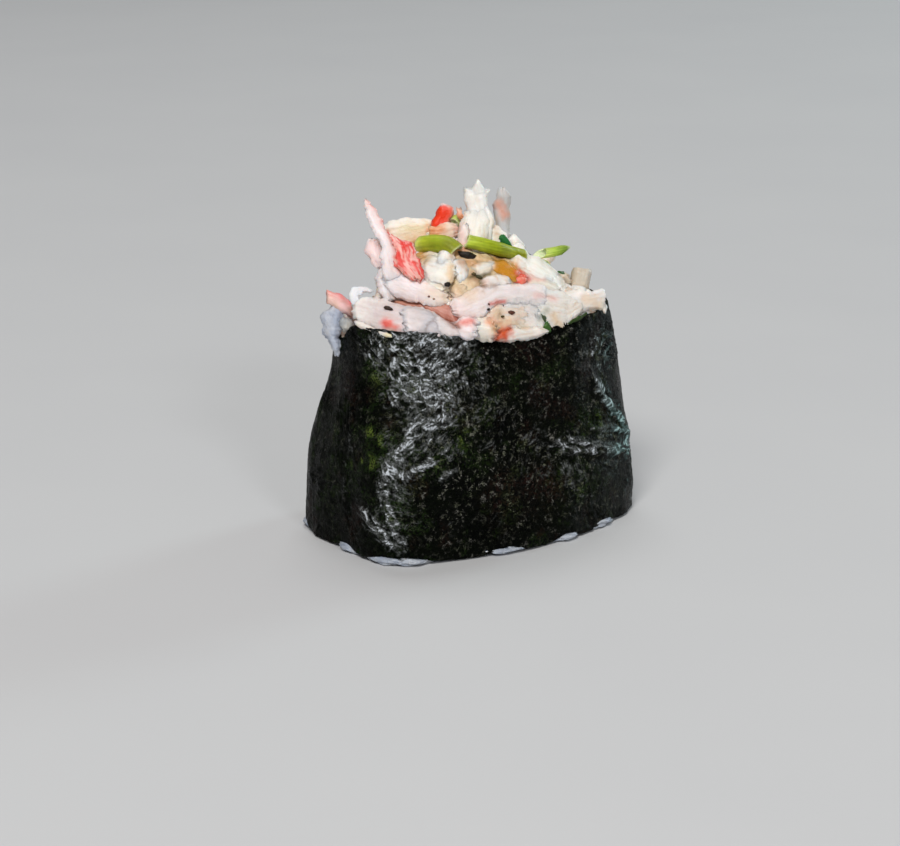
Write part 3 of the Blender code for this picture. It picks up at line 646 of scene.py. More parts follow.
def make_nori():
    across, up, back = 600, 130, 22
    # the columns are closer together on the long side that is shown
    fine = np.linspace(0, 360.0 + LAP_DEG, 4000)
    total = np.cumsum(1 + 1.6 * smooth(55, 68, fine) * smooth(265, 252, fine))
    w = np.interp(np.linspace(total[0], total[-1], across), total, fine)
    deg = LAP_START + w
    step = LAP_STEP * smooth(360 - LAP_DEG, 356, w)
    x, y = wall(deg, 0.5)
    arc = np.concatenate(((0,), np.cumsum(np.hypot(np.diff(x), np.diff(y)))))
    ends = smooth(0, 2.0, w) * smooth(0, 2.0, 360.0 + LAP_DEG - w)
    rows = [(h, 1.0) for h in np.linspace(0, 1, up)] + [(1.003, 0.5)] + [(h, 0.0) for h in np.linspace(1, 0, back)] + [(-0.003, 0.5)]
    h = np.array([r[0] for r in rows])
    side = np.array([r[1] for r in rows])
    D, H = np.meshgrid(deg, h, indexing="ij")
    A = np.broadcast_to(arc[:, None], D.shape)
    out, dye = nori_shape(D, np.clip(H, 0, 1), A)
    thin = NORI_T * (0.9 + 0.1 * ends[:, None])
    off = step[:, None] + out - thin * (1 - side[None, :])
    X, Y = wall(D, H, off)
    edge = np.stack((arc, np.zeros(across), np.zeros(across)), -1)
    torn_top = 0.20 * rough(edge / 2.6, 61) + 0.13 * rough(edge / 0.9, 62) + 0.07 * rough(edge / 0.4, 64)
    torn_low = 0.10 * rough(edge / 2.2, 63) + 0.06 * rough(edge / 0.7, 65)
    low = np.maximum(0.12, hem_z(deg) + torn_low)[:, None]
    high = (rim_z(deg) + torn_top)[:, None]
    Z = low + (high - low) * H
    # the two ends of the strip aren't cut quite straight
    slant = 0.35 * rough(np.stack((Z / 5.0, np.where(D > 250, 7.0, 2.0), 0 * Z), -1), 66)
    dx, dy = wall(D + 0.5, H, off)
    along = unit(np.stack((dx - X, dy - Y, 0 * X), -1))
    tip = (smooth(8, 0, w) + smooth(8, 0, 360 + LAP_DEG - w))[:, None] * slant
    p = np.stack((X, Y, Z), -1) + along * tip[..., None]
    heap = Heap()
    around = len(rows)
    quads = ring_quads(across, around)
    q = p.reshape(-1, 3)
    mid = quads[(across // 2) * around + up // 2]
    n = np.cross(q[mid[1]] - q[mid[0]], q[mid[3]] - q[mid[0]])
    if n @ (q[mid[0]] * (1, 1, 0)) < 0:
        quads = quads[:, ::-1]
    flip = quads[0][0] != 0
    inner = side[None, :] < 0.25
    uv = np.stack((A + np.where(inner, 61.0, 0.0), Z + np.where(inner, 47.0, 0.0)), -1)
    heap.add(p, quads, colour=np.clip(dye, 0, 1).reshape(-1, 3), uv=uv)
    # close the strip's two ends
    for first, turn in ((0, flip), ((across - 1) * around, not flip)):
        a = first + np.arange(up)
        b = first + up + 1 + np.round(np.linspace(back - 1, 0, up)).astype(int)
        caps = [(a[i], a[i + 1], b[i + 1], b[i]) if b[i] != b[i + 1] else (a[i], a[i + 1], b[i]) for i in range(up - 1)]
        caps += [(first, b[0], first + around - 1), (a[-1], first + up, b[-1])]
        caps = [c[::-1] if turn else c for c in caps]
        heap.q.append(np.array([c for c in caps if len(c) == 4], int).reshape(-1, 4))
        heap.t.append(np.array([c for c in caps if len(c) == 3], int).reshape(-1, 3))
    return heap.mesh("nori_sheet", nori_material(), "nori", ("nori_band",))


make_nori()

# ---------------------------------------------------------------- crab salad: colours

WHITE, PINKISH, CREAM = (0.88, 0.84, 0.795), (0.86, 0.775, 0.785), (0.84, 0.75, 0.63)
# the beige on this line serves only as painted shade, on the end block
GREYISH, BLUISH, SHADE_BEIGE = (0.55, 0.52, 0.48), (0.78, 0.80, 0.82), (0.60, 0.50, 0.38)
TAN, AMBER, BROWN = (0.72, 0.50, 0.28), (0.60, 0.26, 0.020), (0.32, 0.13, 0.045)
PINK, SALMON, RED, ORANGE = (0.82, 0.36, 0.31), (0.76, 0.14, 0.09), (0.66, 0.030, 0.014), (0.76, 0.30, 0.13)
DARK = (0.035, 0.022, 0.014)

# Stains, and lines of painted shade, on whatever lies there, in the viewer's frame: from, to, half width in pixels,
# colour and strength. The painted shade entries are noted above their lines.
STAIN_AND_SHADE_LINES = [
    (408, 238, 430, 234, 9, TAN, 0.55), (404, 229, 426, 227, 6, (0.74, 0.66, 0.36), 0.5),
    (412, 250, 424, 258, 7, AMBER, 0.75), (430, 231, 441, 229, 6, ORANGE, 0.8), (420, 246, 414, 242, 4, AMBER, 0.6),
    (494, 262, 512, 268, 8, AMBER, 0.9), (508, 272, 520, 280, 6, AMBER, 0.6), (458, 249, 470, 246, 5, ORANGE, 0.8), (474, 262, 480, 256, 7, TAN, 0.8),
    # painted shade on this line: the tan from (450, 268), the tan from (456, 288) and the brown from (472, 276),
    # between and under the middle lumps
    (452, 256, 457, 246, 4, AMBER, 0.5), (450, 268, 452, 284, 5, TAN, 0.75), (456, 288, 470, 296, 9, TAN, 0.6), (472, 276, 482, 282, 6, BROWN, 0.6),
    # painted shadow: the orange line from (396, 299), under the curl
    (430, 292, 446, 298, 7, TAN, 0.35), (396, 299, 420, 303, 3, ORANGE, 0.35),
    (519, 273, 528, 279, 4.5, RED, 0.85), (530, 278, 544, 280, 2.2, PINK, 0.5), (536, 294, 554, 299, 3.6, PINK, 0.45), (508, 292, 532, 290, 6, PINKISH, 0.5),
    (491, 304, 504, 301.5, 2.2, RED, 0.7), (378, 316, 396, 329, 6.5, PINK, 0.30), (379.5, 317.5, 387, 325, 4.4, (0.80, 0.06, 0.04), 1.0), (385, 322, 395, 327, 2.8, (0.80, 0.20, 0.16), 0.85), (462, 323, 471, 321, 4.2, SALMON, 0.75),
    # painted shade: the two dark lines from (470, 277) and (479, 276), in a hole between the lumps
    (489, 322, 496, 324, 4.5, ORANGE, 0.8), (498, 312, 505, 324, 5, TAN, 0.6), (508, 322, 526, 327, 3.5, TAN, 0.5), (499, 330, 505, 337, 5, (0.62, 0.10, 0.03), 1.0), (497, 339, 508, 329, 4.6, (0.62, 0.10, 0.03), 1.0), (493, 330, 498, 326, 4, TAN, 0.7), (462, 262, 478, 264, 5, (0.50, 0.22, 0.07), 0.7), (470, 277, 490, 274, 2.0, (0.14, 0.11, 0.04), 0.85), (479, 276, 481, 284, 1.8, (0.18, 0.14, 0.06), 0.7), (479, 268, 492, 264, 3.0, WHITE, 0.8), (484, 286, 496, 286, 2.5, BROWN, 0.5),
    # painted shadow: the tan from (586, 299), on the flared end
    (586, 299, 600, 306, 7, TAN, 0.5), (554, 316, 560, 326, 5, TAN, 0.65), (540, 318, 547, 310, 4, (0.30, 0.31, 0.24), 0.6), (330, 296, 336, 306, 4, TAN, 0.6), (350, 302, 351, 314, 3.5, BROWN, 0.55),
    # painted shade: the beige from (562, 274), on the end block's left side
    (498, 204, 504, 214, 5, (0.66, 0.25, 0.14), 0.7), (494, 220, 498, 238, 4, TAN, 0.35), (458, 226, 464, 244, 5, PINK, 0.35), (562, 274, 568, 288, 6, SHADE_BEIGE, 0.6),
    # painted shade: the dark red-brown from (446, 319), in the gap under the curl
    (446, 319, 459, 327, 3, (0.32, 0.10, 0.06), 0.85), (394, 262, 417, 281, 1.2, RED, 0.85), (387, 231, 393, 246, 2.6, SALMON, 0.6), (455, 300, 480, 306, 7, PINKISH, 0.4),
    (340, 292, 350, 299, 3.5, SALMON, 0.5), (444, 205, 449, 207, 2.2, PINKISH, 0.6), (386, 337, 390, 333, 3.5, (0.80, 0.68, 0.38), 0.6),
]
STAIN_AND_SHADE_ENDS = [(on_heap(np.array([a, c]), np.array([b, d]), 0.3), s) for a, b, c, d, *s in STAIN_AND_SHADE_LINES]


def stained_and_shaded(p, colour, seed=0):
    """The colours of points, with the stains and painted shade that reach them."""
    px, py, z = seen_at(p)
    fuzz = 1 + 0.55 * rough(p / 0.9, 71) + 0.25 * rough(p / 0.4, 72)
    for (a, b, c, d, half, tone, strength), (ends, _) in zip(STAIN_AND_SHADE_LINES, STAIN_AND_SHADE_ENDS):
        reach = 2.2 * half
        near = (px > min(a, c) - reach) & (px < max(a, c) + reach) & (py > min(b, d) - reach) & (py < max(b, d) + reach)
        if not near.any():
            continue
        u = np.clip(((px[near] - a) * (c - a) + (py[near] - b) * (d - b)) / ((c - a) ** 2 + (d - b) ** 2 + 1e-6), 0, 1)
        far = np.hypot(px[near] - a - u * (c - a), py[near] - b - u * (d - b)) * fuzz[near]
        apart = z[near] - (deep(ends[0]) + u * (deep(ends[1]) - deep(ends[0])))
        share = strength * np.exp(-((far / half) ** 2) * 1.1) * smooth(8.0, 5.0, np.abs(apart))
        colour[near] = colour[near] + (np.asarray(tone) - colour[near]) * share[..., None]
    return colour


# ---------------------------------------------------------------- crab salad: one flake


def section(half_wide, half_thick, around, power):
    """An evenly walked superellipse: across and through, each -1 to 1."""
    a = np.linspace(0, 2 * np.pi, 721)
    x = np.sign(np.cos(a)) * np.abs(np.cos(a)) ** (2 / power)
    z = np.sign(np.sin(a)) * np.abs(np.sin(a)) ** (2 / power)
    run = np.concatenate(((0,), np.cumsum(np.hypot(np.diff(x) * half_wide, np.diff(z) * half_thick))))
    at = np.linspace(0, run[-1], around, endpoint=False)
    return np.interp(at, run, x), np.interp(at, run, z)


def flake(heap, left, right, thick, tone=WHITE, seed=0, face=None, pitch=0.21, crown=0.05, groove=0.11, lump=0.16, crack=0.16, fray=0.8, ragged=0.34, power=3.4, sink=0.42, square=0.0, marks=(), streak=None, drift=0.05, with_stains_and_shade=True, fewest=(12, 16)):
    """One flake of crab stick between two long edges: strands along its length with cracks between them, ragged sides and torn ends.
    groove, lump, crack, fray and ragged are depths in mm. square keeps its ends as wide as the rest.
    marks are (where, colour, strength, reach): where is left, right, start, end, front or back. streak is (colour, strength)."""
    left, right = np.asarray(left, float), np.asarray(right, float)
    mid = (left + right) / 2
    length = np.linalg.norm(np.diff(mid, axis=0), axis=1).sum()
    wide0 = np.linalg.norm(right - left, axis=1).mean()
    rows = int(np.clip(length / pitch, fewest[0], 110))
    around = int(np.clip(2.05 * (wide0 + thick) / pitch, fewest[1], 84))
    t = np.linspace(0, 1, rows)
    a, b = spline(left, t), spline(right, t)
    m, side = (a + b) / 2, b - a
    wide = np.maximum(np.linalg.norm(side, axis=1), 0.15)
    tangent = unit(np.gradient(m, axis=0))
    side = unit(side)
    normal = np.cross(side, tangent)
    sign = np.sign((normal[1:] * normal[:-1]).sum(1))
    normal[1:] *= np.cumprod(np.where(sign == 0, 1, sign))[:, None]
    normal = unit(normal)
    if (normal @ (-FWD if face is None else np.asarray(face, float))).sum() < 0:
        normal = -normal
    X, Z = section(wide0 / 2, thick / 2, around, power)
    hand = 1.0 if (np.cross(side, normal) * tangent).sum() < 0 else -1.0
    X, Z = np.broadcast_to(X, (rows, around)), np.broadcast_to(Z, (rows, around))
    s = np.broadcast_to((t * length)[:, None], X.shape)
    end = np.minimum(s, length - s)
    blunt = min(0.8 * thick, 0.22 * length)
    w_end = 1 - (1 - square) * 0.16 * smooth(blunt, 0, end)
    t_end = 1 - (0.6 - 0.35 * square) * smooth(blunt, 0, end)
    across = X * wide[:, None] / 2
    k = seed * 3.17
    none = 0 * s
    face_id = np.sign(Z) * 2.0
    wave = 0.45 * rough(np.stack((s / 3.6, none + k, none), -1), 84) + 0.12 * rough(np.stack((s / 1.1, across / 1.5 + k, none), -1), 80)
    q = across + wave
    coarse = rough(np.stack((q / 0.66, s / 8.0 + k, face_id), -1), 85)
    thread = rough(np.stack((q / 0.27, s / 3.4 + k, face_id), -1), 86)
    strands = coarse + 0.55 * thread
    split = rough(np.stack((q / 1.25 + 7, s / 11.0 + k, face_id), -1), 79)
    split = np.exp(-((split / 0.075) ** 2)) * smooth(-0.25, 0.25, rough(np.stack((s / 2.8, q / 2.0 + k, face_id), -1), 78))
    edge = rough(np.stack((s / 1.5, none + k, np.sign(X) * 3), -1), 81) + 0.65 * rough(np.stack((s / 0.6, none + k, np.sign(X) * 3), -1), 82) + 0.35 * rough(np.stack((s / 0.28, none + k, X + Z), -1), 83)
    through = Z * thick / 2 * t_end * (1 - (0.35 if square > 0.5 or thick > 2.5 else 0.65) * np.abs(X) ** 4) + crown * wide[:, None] * (1 - X**2) - sink * thick
    p = m[:, None] + side[:, None] * (across * w_end + ragged * edge * np.sign(X) * np.abs(X) ** 1.4)[..., None] + normal[:, None] * through[..., None]
    outward = unit(side[:, None] * (np.sign(X) * np.abs(X) ** 4)[..., None] + normal[:, None] * Z[..., None])
    flat_part = 1 - 0.5 * np.abs(X) ** 4
    relief = groove * strands * flat_part + lump * (rough(p / 2.1, 87) + 0.30 * rough(p / 0.9, 88) + 0.13 * rough(p / 0.42, 77)) - crack * split * flat_part
    p = p + outward * relief[..., None]
    torn = rough(np.stack((q / 0.75, Z * thick / 1.4 + k, none), -1), 89) + 0.7 * rough(np.stack((q / 0.30, Z + k, none), -1), 90) - 0.6 * split
    near = min(1.6, 0.35 * length)
    p = p + tangent[:, None] * (fray * torn * (smooth(length - near, length, s) - smooth(near, 0, s)))[..., None]
    # colours
    c = np.broadcast_to(np.asarray(tone, float), p.shape).copy()
    c *= (1 + drift * rough(p / 2.3, 91) + 0.6 * drift * strands)[..., None]
    warm = smooth(0.0, 0.7, rough(p / 3.1 + k, 92))[..., None]
    c = c + (c * (1.0, 0.97, 0.93) - c) * 0.5 * warm
    # painted shade: cracks and grooves are darkened and warmed in the colour, as the shade that falls in them
    c = c + (c * (0.90, 0.77, 0.64) - c) * (min(1, crack / 0.14) * 0.65 * split + min(1, groove / 0.11) * 0.22 * smooth(0.0, -0.6, strands))[..., None]
    if streak is not None:
        lines = rough(np.stack((q / 0.36, s / 2.6 + k, face_id), -1), 93) + 0.5 * coarse + 0.3 * rough(p / 0.6, 95)
        lines = smooth(-0.18, 0.22, lines)[..., None]
        c = c + (np.asarray(streak[0]) - c) * streak[1] * lines
    for where, colour, strength, reach in marks:
        if where == "left":
            share = np.exp(-(((1 + X) * wide[:, None] / 2) / reach) ** 2)
        elif where == "right":
            share = np.exp(-(((1 - X) * wide[:, None] / 2) / reach) ** 2)
        elif where == "start":
            share = np.exp(-((s / reach) ** 2))
        elif where == "end":
            share = np.exp(-(((length - s) / reach) ** 2))
        elif where == "front":
            share = smooth(-0.1, 0.5, Z) * reach
        else:
            share = smooth(-0.1, 0.5, -Z) * reach
        share = share * np.clip(1 + 0.6 * rough(p / 1.1, 94) + 0.35 * strands, 0, 1.3)
        c = c + (np.asarray(colour) - c) * np.clip(strength * share, 0, 1)[..., None]
    if with_stains_and_shade:
        c = stained_and_shaded(p, c)
    quads = ring_quads(rows, around)
    tips = np.stack((p[0].mean(0), p[-1].mean(0)))
    n = rows * around
    j = np.arange(around)
    fan = np.concatenate((np.stack((np.full(around, n), (j + 1) % around, j), -1), np.stack((np.full(around, n + 1), n - around + j, n - around + (j + 1) % around), -1)))
    if hand < 0:
        quads, fan = quads[:, ::-1], fan[:, ::-1]
    uv = np.stack((s, across + np.where(Z > 0, 0.0, 23.0)), -1) + (k * 2.3 % 40)
    heap.add(np.concatenate((p.reshape(-1, 3), tips)), quads, fan, np.concatenate((c.reshape(-1, 3), c[0].mean(0)[None], c[-1].mean(0)[None])), np.concatenate((uv.reshape(-1, 2), uv[0, :1], uv[-1, :1])))


def lay(rows, lift=0.0, ref=None):
    """The two long edges of a flake from rows of left x, left y, right x, right y in the viewer's frame. They lie on the heap, or at the depth of the points in ref,
    or at depths in mm from the heap's middle, one for each row or one for each edge of it."""
    r = np.asarray(rows, float)
    one, two = lift if isinstance(lift, tuple) else (lift, lift)
    if ref is not None and np.ndim(ref[0]) == 0 or ref is not None and len(ref[0]) == 2:
        z = np.array([(v, v) if np.ndim(v) == 0 else v for v in ref], float)
        at = np.linspace(0, 1, len(r))
        z = np.stack([np.interp(at, np.linspace(0, 1, len(z)), z[:, i]) for i in (0, 1)], -1) + deep((0, 0, 38))
        return at_depth(r[:, 0], r[:, 1], z[:, 0] - one), at_depth(r[:, 2], r[:, 3], z[:, 1] - two)
    if ref is None:
        return on_heap(r[:, 0], r[:, 1], one), on_heap(r[:, 2], r[:, 3], two)
    z = [deep(p) for p in ref]
    z = np.interp(np.linspace(0, 1, len(r)), np.linspace(0, 1, len(z)), z) if len(z) > 1 else np.full(len(r), z[0])
    return at_depth(r[:, 0], r[:, 1], z - one), at_depth(r[:, 2], r[:, 3], z - two)


def blob(heap, centre, half, heading=0.0, lean=0.0, tone=WHITE, seed=0, bumps=0.12, around=16, rings=10, with_stains_and_shade=False):
    """A small rounded lump, grain or seed: half sizes in mm, heading and lean in radians."""
    phi, th = np.meshgrid(np.linspace(0, np.pi, rings + 1)[1:-1], np.linspace(0, 2 * np.pi, around, endpoint=False), indexing="ij")
    p = np.stack((np.cos(phi), np.sin(phi) * np.cos(th), np.sin(phi) * np.sin(th)), -1).reshape(-1, 3)
    p = np.concatenate((p, [(1, 0, 0), (-1, 0, 0)]))
    p = p * (1 + bumps * rough(p * 1.7 + seed * 2.3, 101) + 0.4 * bumps * rough(p * 4.0 + seed, 102))[:, None] * np.asarray(half, float)
    c, s = math.cos(lean), math.sin(lean)
    p = p @ np.array(((c, 0, s), (0, 1, 0), (-s, 0, c)))
    c, s = math.cos(heading), math.sin(heading)
    p = p @ np.array(((c, s, 0), (-s, c, 0), (0, 0, 1))) + np.asarray(centre, float)
    n, j = (rings - 1) * around, np.arange(around)
    fan = np.concatenate((np.stack((np.full(around, n), (j + 1) % around, j), -1), np.stack((np.full(around, n + 1), n - around + j, n - around + (j + 1) % around), -1)))
    col = np.broadcast_to(np.asarray(tone, float), p.shape) * (1 + 0.08 * rough(p / 0.8, 103))[:, None]
    if with_stains_and_shade:
        col = stained_and_shaded(p, col.copy())
    heap.add(p, ring_quads(rings - 1, around)[:, ::-1], fan[:, ::-1], col, p[:, :2])


def tube(heap, points, radius, thin, tones, seed=0, flat=0.9, ribs=13, around=26, slant=(0.0, 0.0), flare=(0.0, 0.0)):
    """A hollow green stalk along the points, open at both ends. tones are (share of its length, colour) and the last one colours its cut and inside."""
    points = np.asarray(points, float)
    length = np.linalg.norm(np.diff(points, axis=0), axis=1).sum()
    rows = int(np.clip(length / 0.25, 8, 60))
    t = np.linspace(0, 1, rows)
    m = spline(points, t)
    tangent = unit(np.gradient(m, axis=0))
    side = unit(np.cross(tangent, (0.05, 0.1, 1.0)))
    up = np.cross(side, tangent)
    a = np.linspace(0, 2 * np.pi, around, endpoint=False)
    T, A = np.meshgrid(t, a, indexing="ij")
    grow = 1 + flare[0] * smooth(0.12, 0, T) + flare[1] * smooth(0.88, 1, T)
    r0 = radius * grow * (1 + 0.03 * np.cos(ribs * A + 1.3 * seed) + 0.05 * rough(np.stack((T * length / 2.0, np.cos(A) + seed, np.sin(A)), -1), 111))
    shift = slant[0] * smooth(0.2, 0, T) * np.cos(A - 0.8) + slant[1] * smooth(0.8, 1, T) * np.cos(A - 0.8)
    shift = shift + 0.10 * rough(np.stack((3 * np.cos(A), 3 * np.sin(A), T * 3 + seed), -1), 112) * (smooth(0.1, 0, T) + smooth(0.9, 1, T))

    def skin(r):
        return m[:, None] + side[:, None] * (r * np.cos(A))[..., None] + up[:, None] * (flat * r * np.sin(A))[..., None] + tangent[:, None] * shift[..., None]

    outer, inner = skin(r0), skin(r0 - thin)
    p = np.concatenate((outer, inner[::-1]))
    shares, colours = [x[0] for x in tones[:-1]], np.array([x[1] for x in tones[:-1]], float)
    c = np.stack([np.interp(T, shares, colours[:, i]) for i in range(3)], -1)
    c = c * (1 + 0.15 * np.cos(ribs * A + 1.3 * seed) + 0.34 * rough(np.stack((T * length / 1.6, 2.5 * np.cos(A), 2.5 * np.sin(A) + seed), -1), 113))[..., None]
    # painted highlight: the top of each stalk is lighter yellow-green, where the lamps catch it
    light = smooth(0.55, 1.0, np.sin(A))[..., None] * 0.35
    c = c + (np.array((0.44, 0.52, 0.04)) - c) * light
    cut = (smooth(0.03, 0.0, T) + smooth(0.97, 1.0, T))[..., None]
    c = c + (np.asarray(tones[-1][1]) - c) * cut * 0.8
    c = np.concatenate((c, np.broadcast_to(np.asarray(tones[-1][1], float), c.shape)))
    total = 2 * rows
    quads = ring_quads(total, around)
    j = np.arange(around)
    quads = np.concatenate((quads, np.stack(((total - 1) * around + j, (total - 1) * around + (j + 1) % around, (j + 1) % around, j), -1)))
    if np.cross(side[0], up[0]) @ tangent[0] > 0:
        quads = quads[:, ::-1]
    uv = np.stack((np.concatenate((T, T[::-1])) * length, np.tile(A * radius, (2, 1))), -1)
    heap.add(p, quads, None, c.reshape(-1, 3), uv.reshape(-1, 2))


# ---------------------------------------------------------------- crab salad: materials


def crab_material(name, fibre=0.035):
    k = Paint(name)
    at, dye = k.place(), k.dye()
    r, g, b = k.channels(dye)[:3]
    u, v = k.split(k.uv())[:2]
    join = k.node("ShaderNodeCombineXYZ")
    k.put(join.inputs[0], k.math("MULTIPLY", u, 0.35))
    k.put(join.inputs[1], k.math("MULTIPLY", v, 2.1))
    lines = k.noise(join.outputs[0], 1.0, 3.0, 0.6, 0.4)
    fine = k.noise(at, 3.2, 3.0, 0.6)
    colour = k.mix(k.span(fine, 0.35, 0.7, 0.0, 0.07), dye, (0.76, 0.64, 0.56), "MULTIPLY")
    colour = k.mix(k.span(lines, 0.42, 0.62, 0.07, 0.0), colour, (0.72, 0.60, 0.56), "MULTIPLY")
    sauce = k.span(k.math("DIVIDE", b, k.math("ADD", r, 0.02)), 0.62, 0.30)
    roughness = k.math("SUBTRACT", k.span(k.noise(at, 0.9, 2.0), 0.35, 0.65, 0.36, 0.56), k.math("MULTIPLY", sauce, 0.16))
    normal = k.bump(lines, fibre * 4.0, 1.0)
    normal = k.bump(fine, 0.07, 1.0, normal)
    k.surface(Base_Color=colour, Roughness=roughness, Normal=normal)
    for key, value in (("Subsurface Weight", 0.5), ("Subsurface Scale", 0.0009), ("Specular IOR Level", 0.42), ("Coat Weight", 0.05), ("Coat Roughness", 0.18)):
        k.p.inputs[key].default_value = value
    k.p.inputs["Subsurface Radius"].default_value = (1.0, 0.72, 0.56)
    return k.m


def green_material():
    k = Paint("chive_green")
    at, dye = k.place(), k.dye()
    fine = k.noise(at, 2.4, 2.0, 0.6)
    colour = k.mix(k.span(fine, 0.35, 0.65, 0.0, 0.25), dye, (0.50, 0.66, 0.30), "MULTIPLY")
    k.surface(Base_Color=colour, Roughness=k.span(fine, 0.3, 0.7, 0.36, 0.52), Normal=k.bump(k.noise(at, 4.5, 2.0), 0.05, 1.0))
    k.p.inputs["Subsurface Weight"].default_value = 0.15
    k.p.inputs["Subsurface Scale"].default_value = 0.0006
    k.p.inputs["Subsurface Radius"].default_value = (0.5, 1.0, 0.2)
    k.p.inputs["Specular IOR Level"].default_value = 0.20
    return k.m


def seed_material():
    k = Paint("seed_dark")
    at = k.place()
    fine = k.noise(at, 4.0, 3.0, 0.6)
    k.surface(Base_Color=k.mix(k.span(fine, 0.5, 0.75, 0.0, 0.5), k.dye(), (0.09, 0.05, 0.028)), Roughness=k.span(fine, 0.3, 0.7, 0.34, 0.55), Normal=k.bump(fine, 0.08, 1.0))
    k.p.inputs["Specular IOR Level"].default_value = 0.25
    return k.m


# ---------------------------------------------------------------- crab salad: the core, built here in place of the imported salad part


def make_core():
    """What the loose pieces lie on: packed crumbs, down to the rice inside the band."""
    around, rings = 400, 88
    deg = np.linspace(0, 360, around, endpoint=False)
    share = np.linspace(0, 1, rings) ** 0.92
    share[0] = 0.004
    S, D = np.meshgrid(share, deg, indexing="ij")
    x1, y1 = within(D, rim_z(D) - 0.5, 0.06)
    X = RIM_SHIFT[0] + S * (x1 - RIM_SHIFT[0])
    Y = S * y1
    Z = heap_z(X, Y) - 1.0
    Z = Z + (np.minimum(Z, rim_z(D) - 0.5) - Z) * smooth(0.86, 0.99, S)
    p = np.stack((X, Y, Z), -1)
    d, which = cells(p / 2.1 + 0.35 * rough(p / 1.6, 121)[..., None], 5)
    d2, which2 = cells(p / 1.05, 6)
    bulge = 0.75 * np.clip(0.72 - d, -0.3, 0.72) + 0.28 * np.clip(0.6 - d2, -0.2, 0.6) + 0.06 * rough(p / 0.45, 122)
    p[..., 2] += bulge * smooth(1.0, 0.9, S) * 1.1
    # shreds that are pressed in, running one way in each patch
    turn = 2.2 * rough(p / 6.5, 124)
    ridge = 1 - 2.2 * np.abs(rough(np.stack(((X * np.cos(turn) + Y * np.sin(turn)) / 3.4, (Y * np.cos(turn) - X * np.sin(turn)) / 0.95, 0 * X), -1), 125))
    p[..., 2] += 0.34 * ridge * smooth(1.0, 0.93, S)
    c = np.broadcast_to(np.array(CREAM), p.shape).copy()
    c = c + (np.array(WHITE) - c) * smooth(-0.1, 0.7, ridge)[..., None]
    c = c + (np.array(PINKISH) - c) * (0.8 * smooth(0.1, 0.4, rough(p / 2.8, 126)))[..., None]
    c = c + (np.array(SALMON) - c) * (0.55 * smooth(0.38, 0.62, rough(p / (2.2, 2.2, 3.0), 127)) * smooth(-0.2, 0.5, ridge))[..., None]
    c = c + (np.array(WHITE) - c) * smooth(0.3, 0.9, which)[..., None] * 0.5
    c = c + (np.array(ORANGE) - c) * (0.55 * smooth(0.80, 0.95, which2))[..., None]
    c = c + (np.array(PINK) - c) * (0.35 * smooth(0.12, 0.02, which))[..., None]
    c = c + (np.array(TAN) - c) * (0.75 * smooth(0.45, 0.85, d + 0.25 * rough(p / 1.2, 123)))[..., None]
    c = c + (np.array(BROWN) - c) * (0.45 * smooth(0.72, 0.98, d))[..., None]
    c = stained_and_shaded(p, c)
    heap = Heap()
    rows = [p.reshape(rings, around, 3)]
    for below, gap in ((1.2, 0.10), (2.5, 0.15), (4.0, 0.25), (6.0, 0.9)):
        z_here = rim_z(deg) - below
        x, y = within(deg, z_here, gap)
        rows.append(np.stack((x, y, np.broadcast_to(z_here, x.shape)), -1)[None])
    low = rows[-1][0]
    for s in (0.7, 0.35, 0.02):
        rows.append((np.stack((low[:, 0] * s, low[:, 1] * s, low[:, 2] * s + (RICE_TOP + 0.6) * (1 - s)), -1))[None])
    q = np.concatenate(rows)
    colour = np.concatenate((c.reshape(rings, around, 3), np.broadcast_to(np.array(CREAM), (len(q) - rings, around, 3))))
    quads = ring_quads(len(q), around)
    n = len(q) * around
    j = np.arange(around)
    fan = np.concatenate((np.stack((np.full(around, n), (j + 1) % around, j), -1), np.stack((np.full(around, n + 1), n - around + j, n - around + (j + 1) % around), -1)))
    top = quads[5 * around + 3]
    flat = q.reshape(-1, 3)
    if np.cross(flat[top[1]] - flat[top[0]], flat[top[3]] - flat[top[0]])[2] < 0:
        quads, fan = quads[:, ::-1], fan[:, ::-1]
    heap.add(np.concatenate((flat, q[0].mean(0)[None], q[-1].mean(0)[None])), quads, fan, np.concatenate((colour.reshape(-1, 3), colour[0, :1], colour[-1, :1])), np.concatenate((flat[:, :2], flat[:2, :2])))
    return heap.mesh("salad_core", crab_material("packed_salad", 0.02), "crab_salad", ("crab_salad",))


make_core()

